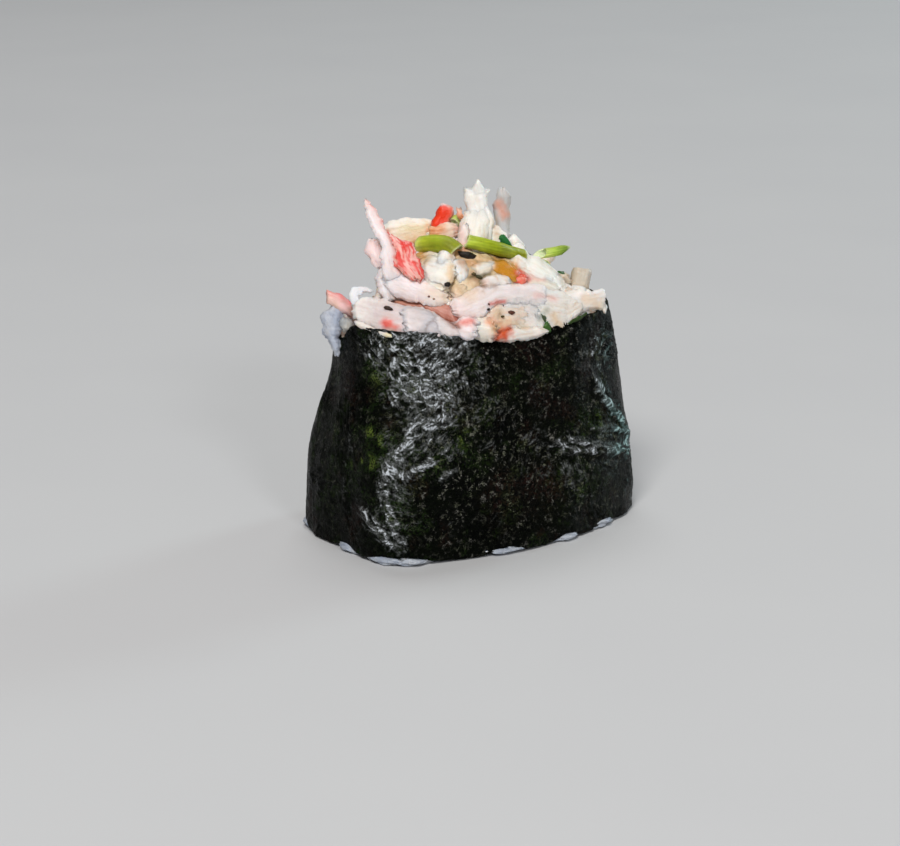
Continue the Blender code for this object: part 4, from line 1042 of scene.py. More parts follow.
# The flakes that the long side shows, as rows along each one of left x, left y, right x, right y in the viewer's frame;
# how far it stands off the heap in mm, or the points whose depth it takes; its thickness; its colour; and what is special about it
FLAKES = {
    # left: the tall strip, what it stands on, and the curled sheet in front
    "tall_left": ([(364, 199, 366.5, 198.5), (363.3, 204.5, 371, 203.5), (366.8, 209, 376.5, 209.5), (365.8, 215, 380, 215.5), (368.5, 221, 383, 221.5), (371, 227.5, 386.5, 227.5), (374.5, 233.5, 390, 234), (378.5, 240, 393.5, 242), (381, 248, 396, 250), (381, 258, 396, 257), (382, 267, 398, 265), (383, 276, 402, 274), (387, 284, 406, 282)],
        0.0, [-10.1, -10.3, -10.6, -10.9, -11.2, -11.6, -12.0, -12.2, -12.2, -12.2, -12.1, -11.9, -11.3], 1.1, PINKISH, dict(marks=(("right", PINK, 0.85, 0.55),), fray=0.3, crown=0.02, groove=0.07, crack=0.08)),
    "left_lump": ([(370, 236.5, 377, 237), (365.8, 241.5, 381, 242), (364.8, 248, 383, 248), (366.5, 254.5, 384, 255), (371, 260.5, 384, 261), (375, 266.5, 385, 267)],
        0.0, [-9.0, -9.6, -10.2], 1.5, PINKISH, dict(marks=(("front", PINK, 0.18, 1.0),), fray=0.4, groove=0.07, crack=0.07)),
    "left_body": ([(384, 258, 412, 262), (382, 267, 424, 270), (380, 277, 438, 280), (381, 288, 446, 290), (386, 297, 450, 299)], 0.0, [-7.6, -7.8, -8.0, -8.6, -9.4], 5.0, PINKISH, dict(fray=0.3, power=2.6, pitch=0.35)),
    "left_foot": ([(376, 261, 395, 260), (379, 268, 399, 268), (377, 275, 403, 276), (376, 283, 407, 284), (377, 291, 411, 292), (380, 299, 411, 299)], 0.0, [-9.6, -9.8, -10.2, -10.4, -10.8], 1.8, PINKISH, dict(fray=0.5, groove=0.07, crack=0.07)),
    "curl": ([(381, 268, 384, 292), (391, 263, 395, 297.5), (403, 266, 408, 300.5), (417, 274, 422, 303), (432, 280, 436, 305), (446, 287, 450, 304)], 0.0, [(-10.2, -10.8), (-10.8, -11.6), (-11.2, -12.2), (-11.5, -12.6), (-11.7, -12.7), (-11.7, -12.4)], 1.6, PINKISH, dict(crown=0.07, groove=0.06, crack=0.07, fray=0.45, marks=(("end", CREAM, 0.5, 2.5),))),
    "red_skin": ([(386, 229, 391, 236), (389, 235, 402, 239), (391, 243, 412, 242), (393, 252, 416, 252), (393, 262, 420, 263), (400, 271, 425, 275), (414, 280.5, 419, 282)],
        0.0, [-8.6, -9.6, -10.8, -11.8, -12.6, -12.9, -13.0], 0.8, (0.88, 0.47, 0.43), dict(streak=((0.74, 0.045, 0.035), 0.95), groove=0.17, crack=0.28, fray=0.8, ragged=0.4, crown=0.02, with_stains_and_shade=False, pitch=0.17)),
    "back_fan": ([(382, 225, 383, 252), (389, 220.5, 391, 256), (397, 218.5, 399, 256), (408, 217.5, 410, 252), (420, 218, 421, 248), (430, 219, 431, 244), (437, 224, 438, 242)],
        0.0, [(-11.1, 6.2, 45.2), (-8, 4.4, 46), (-5, 2.6, 45.3)], 1.7, CREAM, dict(crown=0.04, groove=0.08, ragged=0.14, lump=0.10, marks=(("right", TAN, 0.60, 2.2), ("left", WHITE, 0.7, 1.4)))),
    # crown: red chunk, its cream foot, the tall chunk, and the strip behind it, painted grey as shade
    "red_chunk": ([(434, 232, 445, 231), (431.5, 226, 448, 225), (432.5, 219, 451.5, 219), (435.5, 212, 455, 214.5), (438.5, 206.5, 453, 208.5), (442, 203.8, 448, 204.0)],
        0.3, [(-4.1, 1.4, 46.8)], 2.3, (0.84, 0.050, 0.012), dict(marks=(("end", PINKISH, 0.75, 0.45), ("right", (0.85, 0.42, 0.34), 0.60, 0.55)), groove=0.10, crack=0.12, fray=0.3, ragged=0.25, crown=0.02, square=0.6, with_stains_and_shade=False)),
    "crown_cream": ([(430, 226, 431, 238), (439, 224, 440, 240), (448, 221, 449, 241), (458, 222, 458, 240)], 0.3, [(-6.2, 0.6, 45.5), (-3.6, -0.4, 45.2)], 1.8, CREAM, dict(fray=0.3, marks=(("start", ORANGE, 0.9, 1.5), ("end", (0.82, 0.52, 0.40), 0.5, 1.5)))),
    "crown_red_bit": ([(456, 209, 462, 208), (456.5, 213, 463, 213), (458, 218, 464, 219)], 0.2, [(-2.6, -1.2, 47.6)], 0.9, (0.84, 0.50, 0.38), dict(marks=(("end", ORANGE, 0.8, 0.7),), with_stains_and_shade=False, ragged=0.2)),
    "tall_chunk": ([(460, 236, 490, 235), (461, 226, 491, 226), (464, 217, 491.5, 218), (466, 209, 489.5, 209.5), (465, 201, 487.6, 202), (463.4, 194, 488, 196), (461.8, 189.2, 489.4, 190.4)],
        0.0, [(-1.8, -3.2, 45.0), (-1.2, -2.5, 46.2), (-0.5, -2, 47.3), (0.0, -1.5, 49.8), (0.1, -1.3, 51.4)], 2.3, (0.83, 0.815, 0.785), dict(crown=0.0, fray=0.25, groove=0.06, crack=0.07, lump=0.12, ragged=0.26, power=4.5, square=1.0, drift=0.03)),
    "chunk_tip": ([(468, 200, 486, 200), (470, 191, 485.8, 192), (473.4, 187, 483.6, 187.6), (475.2, 184, 481, 184.6), (476.6, 179.8, 478.8, 180)],
        0.0, [(0.0, -1.4, 49.8), (0.1, -1.3, 51.4), (0.1, -1.3, 52.6)], 1.3, (0.83, 0.815, 0.785), dict(crown=0.0, fray=0.0, groove=0.04, crack=0.03, lump=0.08, ragged=0.16, square=1.0, pitch=0.16)),
    "tall_foot": ([(459, 264, 487, 262), (458, 251, 489, 248), (459, 241, 489, 239), (460, 231, 490.5, 231), (460.4, 222, 493, 224), (461.6, 214.5, 494.3, 217), (467, 209, 491.5, 211)],
        0.5, [(-2.4, -4.0, 43.4), (-1.8, -3.2, 45.0), (-1.2, -2.5, 46.2), (-0.5, -2, 47.3)], 2.6, (0.84, 0.80, 0.74), dict(crown=0.02, fray=0.35, groove=0.07, crack=0.09, lump=0.16, ragged=0.34, power=3.4, square=0.9, drift=0.03)),
    "chunk_side": ([(484, 242, 492, 241), (484, 230, 492.5, 229), (485, 222, 494.5, 221), (484, 214, 493, 215), (482, 207, 489, 208)], 0.5, [(0.2, -3.4, 45.6), (0.6, -2.2, 48.6)], 1.3, WHITE, dict(fray=0.5, groove=0.14)),
    "chunk_foot": ([(459, 253, 470, 254), (457.5, 243, 473, 243), (459.5, 233, 470, 232), (462, 225, 468, 224)], 0.9, [(-3.0, -4.0, 43.9), (-2.0, -3.2, 47.0)], 0.7, (0.86, 0.775, 0.745), dict(fray=0.7, groove=0.06, crack=0.06)),
    "grey_strip": ([(495, 240, 510, 242), (496, 230, 510, 232), (495, 221, 510.5, 221), (492.5, 212, 510.5, 211), (493, 204, 511, 203), (497, 199, 511.3, 197), (497, 193.5, 509, 192.5), (500, 187.5, 505.5, 187.5)],
        0.0, [(5, -0.8, 43.4), (5.5, 0.1, 50.3)], 1.1, (0.55, 0.55, 0.55), dict(crown=0.02, ragged=0.16, fray=0.2, groove=0.08, crack=0.08, square=0.4)),
    "right_of_chunk": ([(488, 230, 489, 244), (493, 224.5, 494, 247), (499, 224, 499, 250), (505, 229, 505, 251), (512, 240, 511, 251)], 0.2, [(1.2, -3.9, 45.0), (3.2, -3.9, 43.6)], 1.9, WHITE, dict(fray=0.5, ragged=0.25)),
    # right: the big slab, the block at its end; the block and its foot take dark grey-beige tones and beige marks as
    # painted shade
    "slab": ([(510, 240, 507, 262), (521, 239, 516, 273), (531, 251.5, 526, 282), (541, 254.5, 536, 286), (552, 264, 546, 289), (561, 273, 556, 292), (568.5, 287, 562, 295)], 0.2, None, 2.2, (0.95, 0.90, 0.84), dict(crown=0.05, groove=0.10, crack=0.12, ragged=0.38, marks=(("right", CREAM, 0.5, 1.5),))),
    "slab_bump": ([(510, 239, 511, 251), (516, 235.6, 517, 253), (522, 239, 522, 255), (528, 248, 525, 256)], 0.6, None, 1.4, WHITE, dict(fray=0.5)),
    "slab_low": ([(520, 263, 517, 275), (534, 268, 530, 283), (548, 276, 545, 289), (560, 283, 558, 294)], 0.7, None, 1.3, (0.83, 0.75, 0.65), dict(crown=0.04)),
    "slab_face": ([(527, 254, 523, 266), (538, 257, 533, 273), (550, 265, 545, 281), (558, 275, 555, 287)], 0.9, None, 1.1, (0.95, 0.895, 0.84), dict(crown=0.03, groove=0.09)),
    "end_block": ([(567.5, 291, 589, 290.5), (570.5, 282, 590, 282), (571.5, 274, 592, 274), (574, 267.5, 591, 268.5)], 0.0, [(17.3, -3.7, 35.9)], 2.8, (0.55, 0.50, 0.43), dict(groove=0.06, crack=0.05, ragged=0.12, fray=0.12, power=5.0, crown=0.0, square=1.0, marks=(("left", SHADE_BEIGE, 0.7, 1.2), ("start", SHADE_BEIGE, 0.6, 1.2)))),
    "end_block_foot": ([(557, 277, 559, 292), (564, 272.5, 566, 292), (571, 273, 572, 291)], 0.0, [(15.5, -4.5, 36), (16.6, -4.5, 35.6)], 1.8, (0.64, 0.57, 0.47), dict(fray=0.4)),
    # front right: the long strip and what lies over the rim
    "long_strip": ([(450, 303, 455, 315), (459, 297, 463, 320), (468, 288.5, 473, 321), (480, 285, 486, 317), (495, 282.5, 498, 304), (512, 282, 514, 303), (530, 280.5, 532, 304), (549, 283, 551, 312)], 0.9, None, 1.6, (0.84, 0.765, 0.76), dict(crown=0.05, groove=0.07, crack=0.10, lump=0.15, fray=0.4, ragged=0.28, marks=(("start", PINK, 0.25, 2.5),))),
    "front_right": ([(540, 286, 541, 320), (552, 286, 555, 330), (564, 290, 566, 326), (576, 292, 576, 317), (586, 295, 585, 311)], 1.25, None, 1.6, (0.82, 0.785, 0.745), dict(groove=0.09)),
    "flared_end": ([(562, 289, 568, 316), (574, 289.5, 579, 313), (585, 288.8, 589, 311.5), (596, 289.3, 598, 309.8), (606.3, 290.5, 605.5, 310.5)], 0.3, [(12, -10.7, 34.7), (16.5, -11.5, 34)], 1.5, (0.80, 0.78, 0.765), dict(fray=0.25, crown=0.02, square=1.0, groove=0.08, marks=(("right", TAN, 0.10, 1.3),))),
    "flared_corner": ([(598, 303, 606, 302), (601, 308, 606.5, 308), (603.5, 313.5, 606, 313)], 0.5, [(16.5, -11.5, 33)], 0.9, WHITE, dict(fray=0.2, ragged=0.2)),
    "cupped": ([(504, 299, 509, 327), (516, 297.5, 520, 329), (530, 299, 532, 330), (541, 306, 544, 329), (548, 314, 548, 325)], 0.7, None, 1.0, (0.80, 0.74, 0.71), dict(crown=-0.08, groove=0.07, crack=0.08, marks=(("right", WHITE, 0.8, 1.4), ("end", WHITE, 0.5, 1.5)))),
    "rim_lip": ([(494, 333, 496, 342), (503, 330, 504, 341.5), (514, 327, 515, 341.5), (524, 326, 526, 340.5), (536, 326.5, 538, 338), (549, 327, 549, 334.5)], 1.0, [(-2, -13, 32.6), (4.6, -13, 32.0)], 1.8, (0.78, 0.745, 0.70), dict(crown=0.06, fray=0.4)),
    "mottled": ([(484, 306, 484, 335), (494, 300.5, 494, 336), (506, 300, 506, 336), (520, 302, 519, 334), (530, 308, 529, 330)], 0.25, None, 1.4, (0.82, 0.73, 0.64), dict(streak=(ORANGE, 0.22), lump=0.26, fray=1.0, groove=0.07)),
    "rim_white": ([(471, 322, 472, 337), (480, 316.5, 480, 341), (488, 317, 488, 342), (497, 323, 495, 340)], 0.8, [(-5.9, -12.7, 33.3)], 1.9, (0.77, 0.73, 0.66), dict(lump=0.2)),
    "rim_pink": ([(454, 319, 455, 334), (463, 316, 463, 338), (470, 316, 470, 339.5), (478, 319, 477, 339)], 0.7, [(-8.2, -12.1, 34.2)], 1.5, PINKISH, {}),
    "rim_right": ([(546, 316, 549, 335), (556, 315, 558, 333), (567, 311, 569, 326), (580, 307, 580, 317)], 0.3, [(7, -12.6, 32.4), (12, -11.6, 32.8)], 1.5, WHITE, {}),
    # front left: the big tapering sheet, its curled tip, the thin strip under it, the pink-edged chunk at the end. The
    # sheet, its lobe, its tail and the layer under it take a darker pink as painted shade, the sheet facing down to the
    # front; the sheet turns white towards its left end.
    # painted shade: a dark brown sheet in the gap under the curl, darker still at its end
    "gap_brown": ([(390, 297, 392, 303), (412, 300, 415, 308), (430, 299, 434, 312), (444, 300, 447, 322), (457, 305, 462, 331)], 0.0, [(-9.6, -10.4), (-10.4, -11.4), (-11.1, -12.3), (-11.6, -12.6), (-12.1, -12.8)], 1.3, (0.58, 0.27, 0.21), dict(groove=0.07, marks=(("end", (0.40, 0.11, 0.07), 0.7, 3.0),))),
    "front_sheet": ([(351, 299, 351, 318), (360, 296.5, 360, 323), (372, 296, 372, 329), (386, 297.5, 388, 331.5), (402, 303, 404, 332.5), (420, 305.5, 422, 333), (438, 312, 440, 334), (453, 322.5, 455, 335), (469, 331, 470, 336)], 0.0,
        [(-8.9, -10.4), (-9.7, -11.6), (-10.6, -12.8), (-11.6, -14.1), (-12.4, -14.6), (-12.8, -14.7), (-13.0, -14.5), (-12.9, -13.8), (-12.7, -13.0)], 1.6, (0.68, 0.585, 0.590), dict(crown=0.04, groove=0.06, crack=0.08, lump=0.14, fray=0.4, marks=(("left", WHITE, 0.5, 0.8), ("start", WHITE, 0.85, 4.5)))),
    "sheet_lobe": ([(400, 305.5, 406, 331.5), (412, 306, 416, 333), (424, 308, 427, 333.6), (436, 313, 439, 334), (448, 321, 450, 334.6), (458, 328.5, 459, 335)], 0.32,
        [(-12.7, -14.7), (-12.9, -14.6), (-13.0, -14.3), (-13.0, -13.9), (-12.9, -13.5), (-12.8, -13.2)], 1.0, (0.70, 0.60, 0.60), dict(crown=0.05, groove=0.06, crack=0.07, lump=0.16, fray=0.5, ragged=0.2, marks=(("start", PINKISH, 0.6, 1.2),))),
    "sheet_tail": ([(434, 313.5, 438, 332), (442, 316.5, 445, 334), (451, 323, 453, 335), (460, 329.5, 461, 335.5)], 0.7, [(-13.0, -13.9), (-12.9, -13.6), (-12.8, -13.2)], 0.8, (0.74, 0.64, 0.63), dict(crown=0.05, groove=0.06, crack=0.07, lump=0.14, fray=0.4, ragged=0.2)),
    "sheet_under": ([(354, 303, 354, 318), (372, 300, 373, 329), (388, 304, 389, 330), (402, 311, 404, 331)], 0.0, [(-6.5, -8.5), (-8.0, -11.0), (-9.5, -12.5), (-10.2, -12.8)], 3.4, (0.74, 0.64, 0.62), dict(fray=0.2, power=2.6, pitch=0.35)),
    "thin_strip": ([(354, 318.5, 352.5, 323), (363, 323, 361, 328.5), (376, 328, 374, 333.5), (386, 331, 384, 337), (391.5, 333, 389.5, 338)], 0.0, [-11.0, -12.4, -13.6, -14.6, -15.0], 1.0, (0.80, 0.735, 0.685), dict(fray=0.3, ragged=0.15, groove=0.05, marks=(("end", (0.80, 0.70, 0.42), 0.7, 0.8),))),
    "tip_curl": ([(350.4, 305, 361, 303), (350.2, 298, 360, 299), (350.6, 291.5, 359, 296), (354, 286, 362, 292.8), (361.5, 286, 367.2, 292), (368, 287.2, 370.8, 292), (375, 289.0, 374.2, 291.5)], 0.0, [-9.9, -9.7, -9.4, -9.2, -9.0], 0.8, (0.76, 0.775, 0.81), dict(fray=0.2, ragged=0.30, crown=-0.04, groove=0.06, crack=0.06, pitch=0.16)),
    "tip_back": ([(371, 302, 373, 296), (377, 303, 380, 291.5), (384, 303, 388, 288)], 0.0, [-7.6, -7.6], 1.2, (0.82, 0.76, 0.71), dict(fray=0.4)),
    "pink_end": ([(327.5, 289, 328, 303.5), (336, 292, 335.5, 308), (344, 296.5, 342.5, 313), (352.5, 301.5, 349, 317), (358, 303.5, 355, 319)], 0.0, [(-21.9, 4.2, 36.9), (-19.4, 3.3, 34.7)], 1.8, (0.84, 0.57, 0.56), dict(fray=0.15, square=0.7, ragged=0.2, crown=0.02, marks=(("left", (0.82, 0.15, 0.16), 0.85, 0.8), ("start", TAN, 0.25, 1.0)))),
    # middle: lumps in the hollow between the stalks and the strips
    "sauce_left": ([(412, 246, 411, 262), (424, 243, 424, 287), (438, 243, 441, 290), (454, 246, 455, 292)], 0.55, None, 1.0, (0.84, 0.70, 0.52), dict(fray=0.4, groove=0.07, crack=0.10, lump=0.26)),
    "sauce_right": ([(450, 246, 450, 292), (464, 246, 467, 294), (480, 250, 483, 290), (500, 256, 500, 289), (522, 262, 517, 286)], 0.65, None, 1.0, (0.80, 0.62, 0.42), dict(fray=0.4, groove=0.07, crack=0.10, lump=0.26)),
    "mid_mass": ([(415, 260, 419, 276), (424, 254, 428, 284), (434, 252, 438, 287), (443, 257, 448, 286), (450, 263, 451, 280)], 1.5, None, 1.7, (0.90, 0.83, 0.74), dict(fray=0.4, groove=0.10, crack=0.14, lump=0.26, crown=0.07)),
    "mid_cream": ([(418, 254, 424, 266), (426, 250.5, 430, 263), (436, 250, 440, 263)], 1.0, None, 1.3, CREAM, dict(lump=0.24, groove=0.05)),
    "mid_lobe": ([(418, 258, 420, 270), (426, 252, 429, 276), (436, 251, 440, 279), (447, 254, 450, 277), (453, 260, 454, 271)], 3.05, None, 1.6, (0.92, 0.85, 0.77), dict(sink=0.8, fray=0.5, ragged=0.30, groove=0.07, crack=0.09, lump=0.18, crown=0.01)),
    "mid_lump": ([(442.5, 237.5, 448, 238), (438.6, 242, 451.6, 242), (436, 248, 453, 248.5), (434, 254, 451, 255), (432, 261, 448, 262), (432, 268, 443, 269)], 2.9, None, 1.9, (0.90, 0.87, 0.83), dict(sink=0.8, fray=0.3, ragged=0.28, groove=0.06, crack=0.06, lump=0.16)),
    "mid_oval": ([(450.5, 257, 460.5, 253), (449.5, 264, 467.5, 259.5), (452.5, 272, 470, 268), (458, 279.5, 468.5, 277.5)], 1.6, None, 1.7, (0.83, 0.83, 0.82), dict(sink=0.75, fray=0.3, groove=0.06, crack=0.06, ragged=0.24, lump=0.16)),
    "mid_right": ([(471, 268, 475, 258), (479, 273, 483, 257.5), (489, 273, 491, 257), (498, 268, 496, 257)], 1.5, None, 1.4, (0.86, 0.78, 0.66), dict(sink=0.8, fray=0.5, groove=0.08, crack=0.10, ragged=0.4)),
    "mid_low": ([(482, 276, 484, 285), (492, 271.5, 494, 286.5), (503, 272, 504, 284.5), (514, 276, 513, 282)], 1.7, None, 1.5, (0.88, 0.82, 0.79), dict(sink=0.75, fray=0.6, groove=0.08, crack=0.10, ragged=0.4)),
    # painted shade: these lumps are tan, standing for the shade in the hollow below the middle lumps
    "mid_low_left": ([(448, 283, 452, 291), (458, 281, 461, 295), (470, 283, 471, 292)], 1.2, None, 1.5, (0.76, 0.56, 0.42), dict(sink=0.8, fray=0.6, lump=0.25)),
    "mid_tan": ([(472, 250, 474, 262), (482, 252, 484, 264), (495, 256, 495, 267)], 0.9, None, 1.2, (0.82, 0.66, 0.46), dict(lump=0.24, groove=0.05)),
    "mid_amber": ([(491, 258, 491, 270), (502, 259, 502, 274), (514, 263, 512, 280), (522, 269, 519, 283)], 1.0, None, 1.1, (0.58, 0.24, 0.014), dict(lump=0.24, groove=0.03, crack=0.03, fray=0.6)),
    "mid_red": ([(517.5, 273, 518.5, 280), (523.5, 270.5, 524.5, 281), (530.5, 273, 530, 279)], 1.8, None, 1.1, (0.83, 0.10, 0.06), dict(sink=0.8, fray=0.6, ragged=0.5, power=4.0, streak=((0.85, 0.40, 0.30), 0.5), with_stains_and_shade=False)),
}
LUMPS = ("mid_", "sauce_", "rim_", "mottled", "crown_", "red_", "end_", "chunk_", "flared_", "slab_", "pink_end", "tip_curl")

strips, lumps = Heap(), Heap()
for number, (name_, (rows_, lift_, ref_, thick_, tone_, more_)) in enumerate(FLAKES.items()):
    edge_a, edge_b = lay(rows_, lift_, ref_)
    flake(lumps if name_.startswith(LUMPS) else strips, edge_a, edge_b, thick_, tone_, number + 1, **more_)
TOPS = np.concatenate(strips.v + lumps.v)
TOPS_X, TOPS_Y, TOPS_Z = seen_at(TOPS)


def on_top(px, py, near=2.2):
    """The point of the loose pieces that shows at a pixel."""
    close = (np.abs(TOPS_X - px) < near) & (np.abs(TOPS_Y - py) < near)
    return at_depth(px, py, TOPS_Z[close].min()) if close.any() else on_heap(np.array([px], float), np.array([py], float), 0.8)[0]


strips.mesh("crab_strips_front", crab_material("crab_stick"), "crab_salad")
lumps.mesh("crab_chunks_front", crab_material("crab_stick_chunk"), "crab_salad")

# ---------------------------------------------------------------- crab salad: shreds by rule, on the crown, the ends and the far side


def heap_normal(x, y, e=0.3):
    n = np.array((-(heap_z(x + e, y) - heap_z(x - e, y)) / (2 * e), -(heap_z(x, y + e) - heap_z(x, y - e)) / (2 * e), 1.0))
    return n / np.linalg.norm(n)


def lie_on_heap(x, y, heading, long, wide, lift, tip, bend, rng):
    """The two edges of a shred that lies on the heap: its ends lifted by tip, its line bent sideways."""
    left, right = [], []
    for t in np.linspace(-0.5, 0.5, 6):
        c, s = math.cos(heading + bend * t), math.sin(heading + bend * t)
        cx, cy = x + c * long * t, y + s * long * t
        w = wide / 2 * (1 - 0.5 * (2 * abs(t)) ** 3) * rng.uniform(0.85, 1.15)
        for edge, way in ((left, 1), (right, -1)):
            ex, ey = cx - s * w * way, cy + c * w * way
            edge.append((ex, ey, 0.35 * float(heap_z(ex, ey)) + 0.65 * float(heap_z(cx, cy)) + lift + tip * (t + 0.5) ** 2))
    return np.array(left), np.array(right)


def draw_in(x, y, most):
    """A point past the rim's plan is drawn in to the share most of it."""
    reach = (abs((x - RIM_SHIFT[0]) / RIM_A) ** 2.5 + abs(y / RIM_B) ** 2.5) ** 0.4
    return (x, y) if reach < most else (RIM_SHIFT[0] + (x - RIM_SHIFT[0]) * most / reach, y * most / reach)


def under_outline(p):
    """Whether points stay below the outline of the heap's two ends that the long side shows."""
    px, py, _ = seen_at(p)
    left = np.interp(px, (300, 350, 365, 376, 384, 388), (340, 304, 299, 291, 263, 222))
    right = np.interp(px, (530, 540, 550, 560, 566, 572, 592, 600, 612), (250, 254, 262, 275, 284, 270, 270, 291, 316))
    return bool(((px > 388) | (py > left)).all() and ((px < 530) | (py > right)).all())


def make_fill():
    rng = np.random.RandomState(23)
    far, crumbs = Heap(), Heap()
    tones = [WHITE, WHITE, PINKISH, CREAM, CREAM, PINKISH, (0.80, 0.60, 0.52)]
    count = 230
    for i in range(count):
        angle, rho = i * math.radians(137.508), 0.98 * math.sqrt((i + 0.5) / count)
        x, y = 1.0 + 18.5 * rho * math.cos(angle), 12.0 * rho * math.sin(angle)
        long, wide, thick = rng.uniform(4.2, 9.5), rng.uniform(1.3, 3.4), rng.uniform(0.8, 1.6)
        heading, tip, bend, lift = rng.uniform(0, math.pi), rng.uniform(-0.3, 1.6), rng.uniform(-0.7, 0.7), rng.uniform(-0.1, 0.9)
        tone = tones[rng.randint(len(tones))]
        marks = []
        if rng.rand() < 0.33:
            marks.append((("left", "right", "front")[rng.randint(3)], (SALMON, RED, PINK)[rng.randint(3)], rng.uniform(0.4, 0.85), rng.uniform(0.4, 0.8)))
        if rng.rand() < 0.25:
            marks.append(("end", TAN, 0.5, 1.5))
        if -0.53 * x - 0.85 * y > -1.0 or (x < -12.0 and y < 5) or (x > 11 and y < 1.5):
            if not ((x < -7 and y > 0.5) or (x < -13 and y > -6) or (x > 13 and y > -6)):
                continue  # the shown flakes lie here
            thick, lift, tip = min(thick, 1.2), min(lift, 0.1) - 0.05, min(tip, 0.2)
        if rho > 0.72:
            heading = math.atan2(y, x * 0.55) + math.pi / 2 + rng.uniform(-0.5, 0.5)
        x, y = draw_in(x, y, 0.84)
        n = heap_normal(x, y) * thick * 0.6
        # one that would show over the outline lies lower
        for drop in (0.0, 0.35, 0.7):
            a, b = lie_on_heap(x, y, heading, long, wide, lift - drop, tip if drop == 0 else 0.0, bend, rng)
            for edge in (a, b):
                for k in range(len(edge)):
                    ex, ey = draw_in(edge[k, 0], edge[k, 1], 1.01)
                    if (ex, ey) != (edge[k, 0], edge[k, 1]):
                        edge[k, :2] = ex, ey
            if under_outline(a + n) and under_outline(b + n):
                break
        streak = (SALMON, 0.5) if rng.rand() < 0.10 else None
        if not (under_outline(a + n) and under_outline(b + n)):
            continue
        flake(far, a, b, thick, tone, 200 + i, face=heap_normal(x, y), pitch=0.34, marks=tuple(marks), streak=streak, fray=0.9, crown=rng.uniform(-0.03, 0.08), with_stains_and_shade=False)
    # a few that stand up on the far side and at the right end
    for x, y, heading, rise, long, wide, tone in ((6.5, 6.5, 0.9, 0.9, 7.5, 2.6, WHITE), (-8.0, 7.0, 2.3, 0.8, 7.0, 2.4, PINKISH), (13.5, 4.5, 0.2, 0.5, 6.0, 2.2, CREAM), (1.0, 8.5, 1.4, 0.7, 6.5, 2.8, WHITE)):
        n = heap_normal(x, y)
        along = np.array((math.cos(heading) * math.cos(rise), math.sin(heading) * math.cos(rise), math.sin(rise)))
        side = unit(np.cross(along, (0.3, -0.4, 0.5)))
        c = np.array((x, y, float(heap_z(x, y)) - 0.6))
        t = np.linspace(0, 1, 5)[:, None]
        mid = c + along * long * t
        a, b = mid + side * wide / 2 * (1 - 0.35 * t), mid - side * wide / 2 * (1 - 0.35 * t)
        flake(far, a, b, 1.4, tone, int(300 + x), face=n, fray=0.9, pitch=0.3, with_stains_and_shade=False)
    # crumbs of the same, all over
    for i in range(420):
        angle, rho = i * math.radians(137.508) + 0.7, 0.96 * math.sqrt((i + 0.5) / 420)
        x, y = 1.2 + 18.8 * rho * math.cos(angle), 12.2 * rho * math.sin(angle)
        x, y = draw_in(x + rng.uniform(-0.6, 0.6), y + rng.uniform(-0.6, 0.6), 0.93)
        if (-0.53 * x - 0.85 * y > 0.0 or (x > 10 and y < 5)) and not (x < -7 and y > 0.5) and not (x > 14 and y > -5):
            continue
        spot = np.array((x, y, float(heap_z(x, y)) + 0.6))
        px, py, _ = seen_at(spot)
        if not under_outline(spot) or 552 < px < 596 and py < 292:
            continue
        size = rng.uniform(0.30, 0.85)
        tone = [WHITE, CREAM, PINKISH, ORANGE, CREAM, WHITE, TAN, PINK][rng.randint(8)]
        lift = rng.uniform(-0.5, 0.3) - (0.35 if -0.53 * x - 0.85 * y > 1.5 else -0.5)
        blob(crumbs, (x, y, float(heap_z(x, y)) + lift), (size * rng.uniform(0.9, 1.8), size, size * rng.uniform(0.5, 0.9)), rng.uniform(0, 6.28), rng.uniform(-0.6, 0.6), tone, i, 0.30, 12, 8)
    far.mesh("crab_strips_far", crab_material("crab_stick_far"), "crab_salad")
    crumbs.mesh("crab_crumbs", crab_material("crab_crumb", 0.02), "crab_salad")


make_fill()


# ---------------------------------------------------------------- crab salad: stalks, leaves and seeds


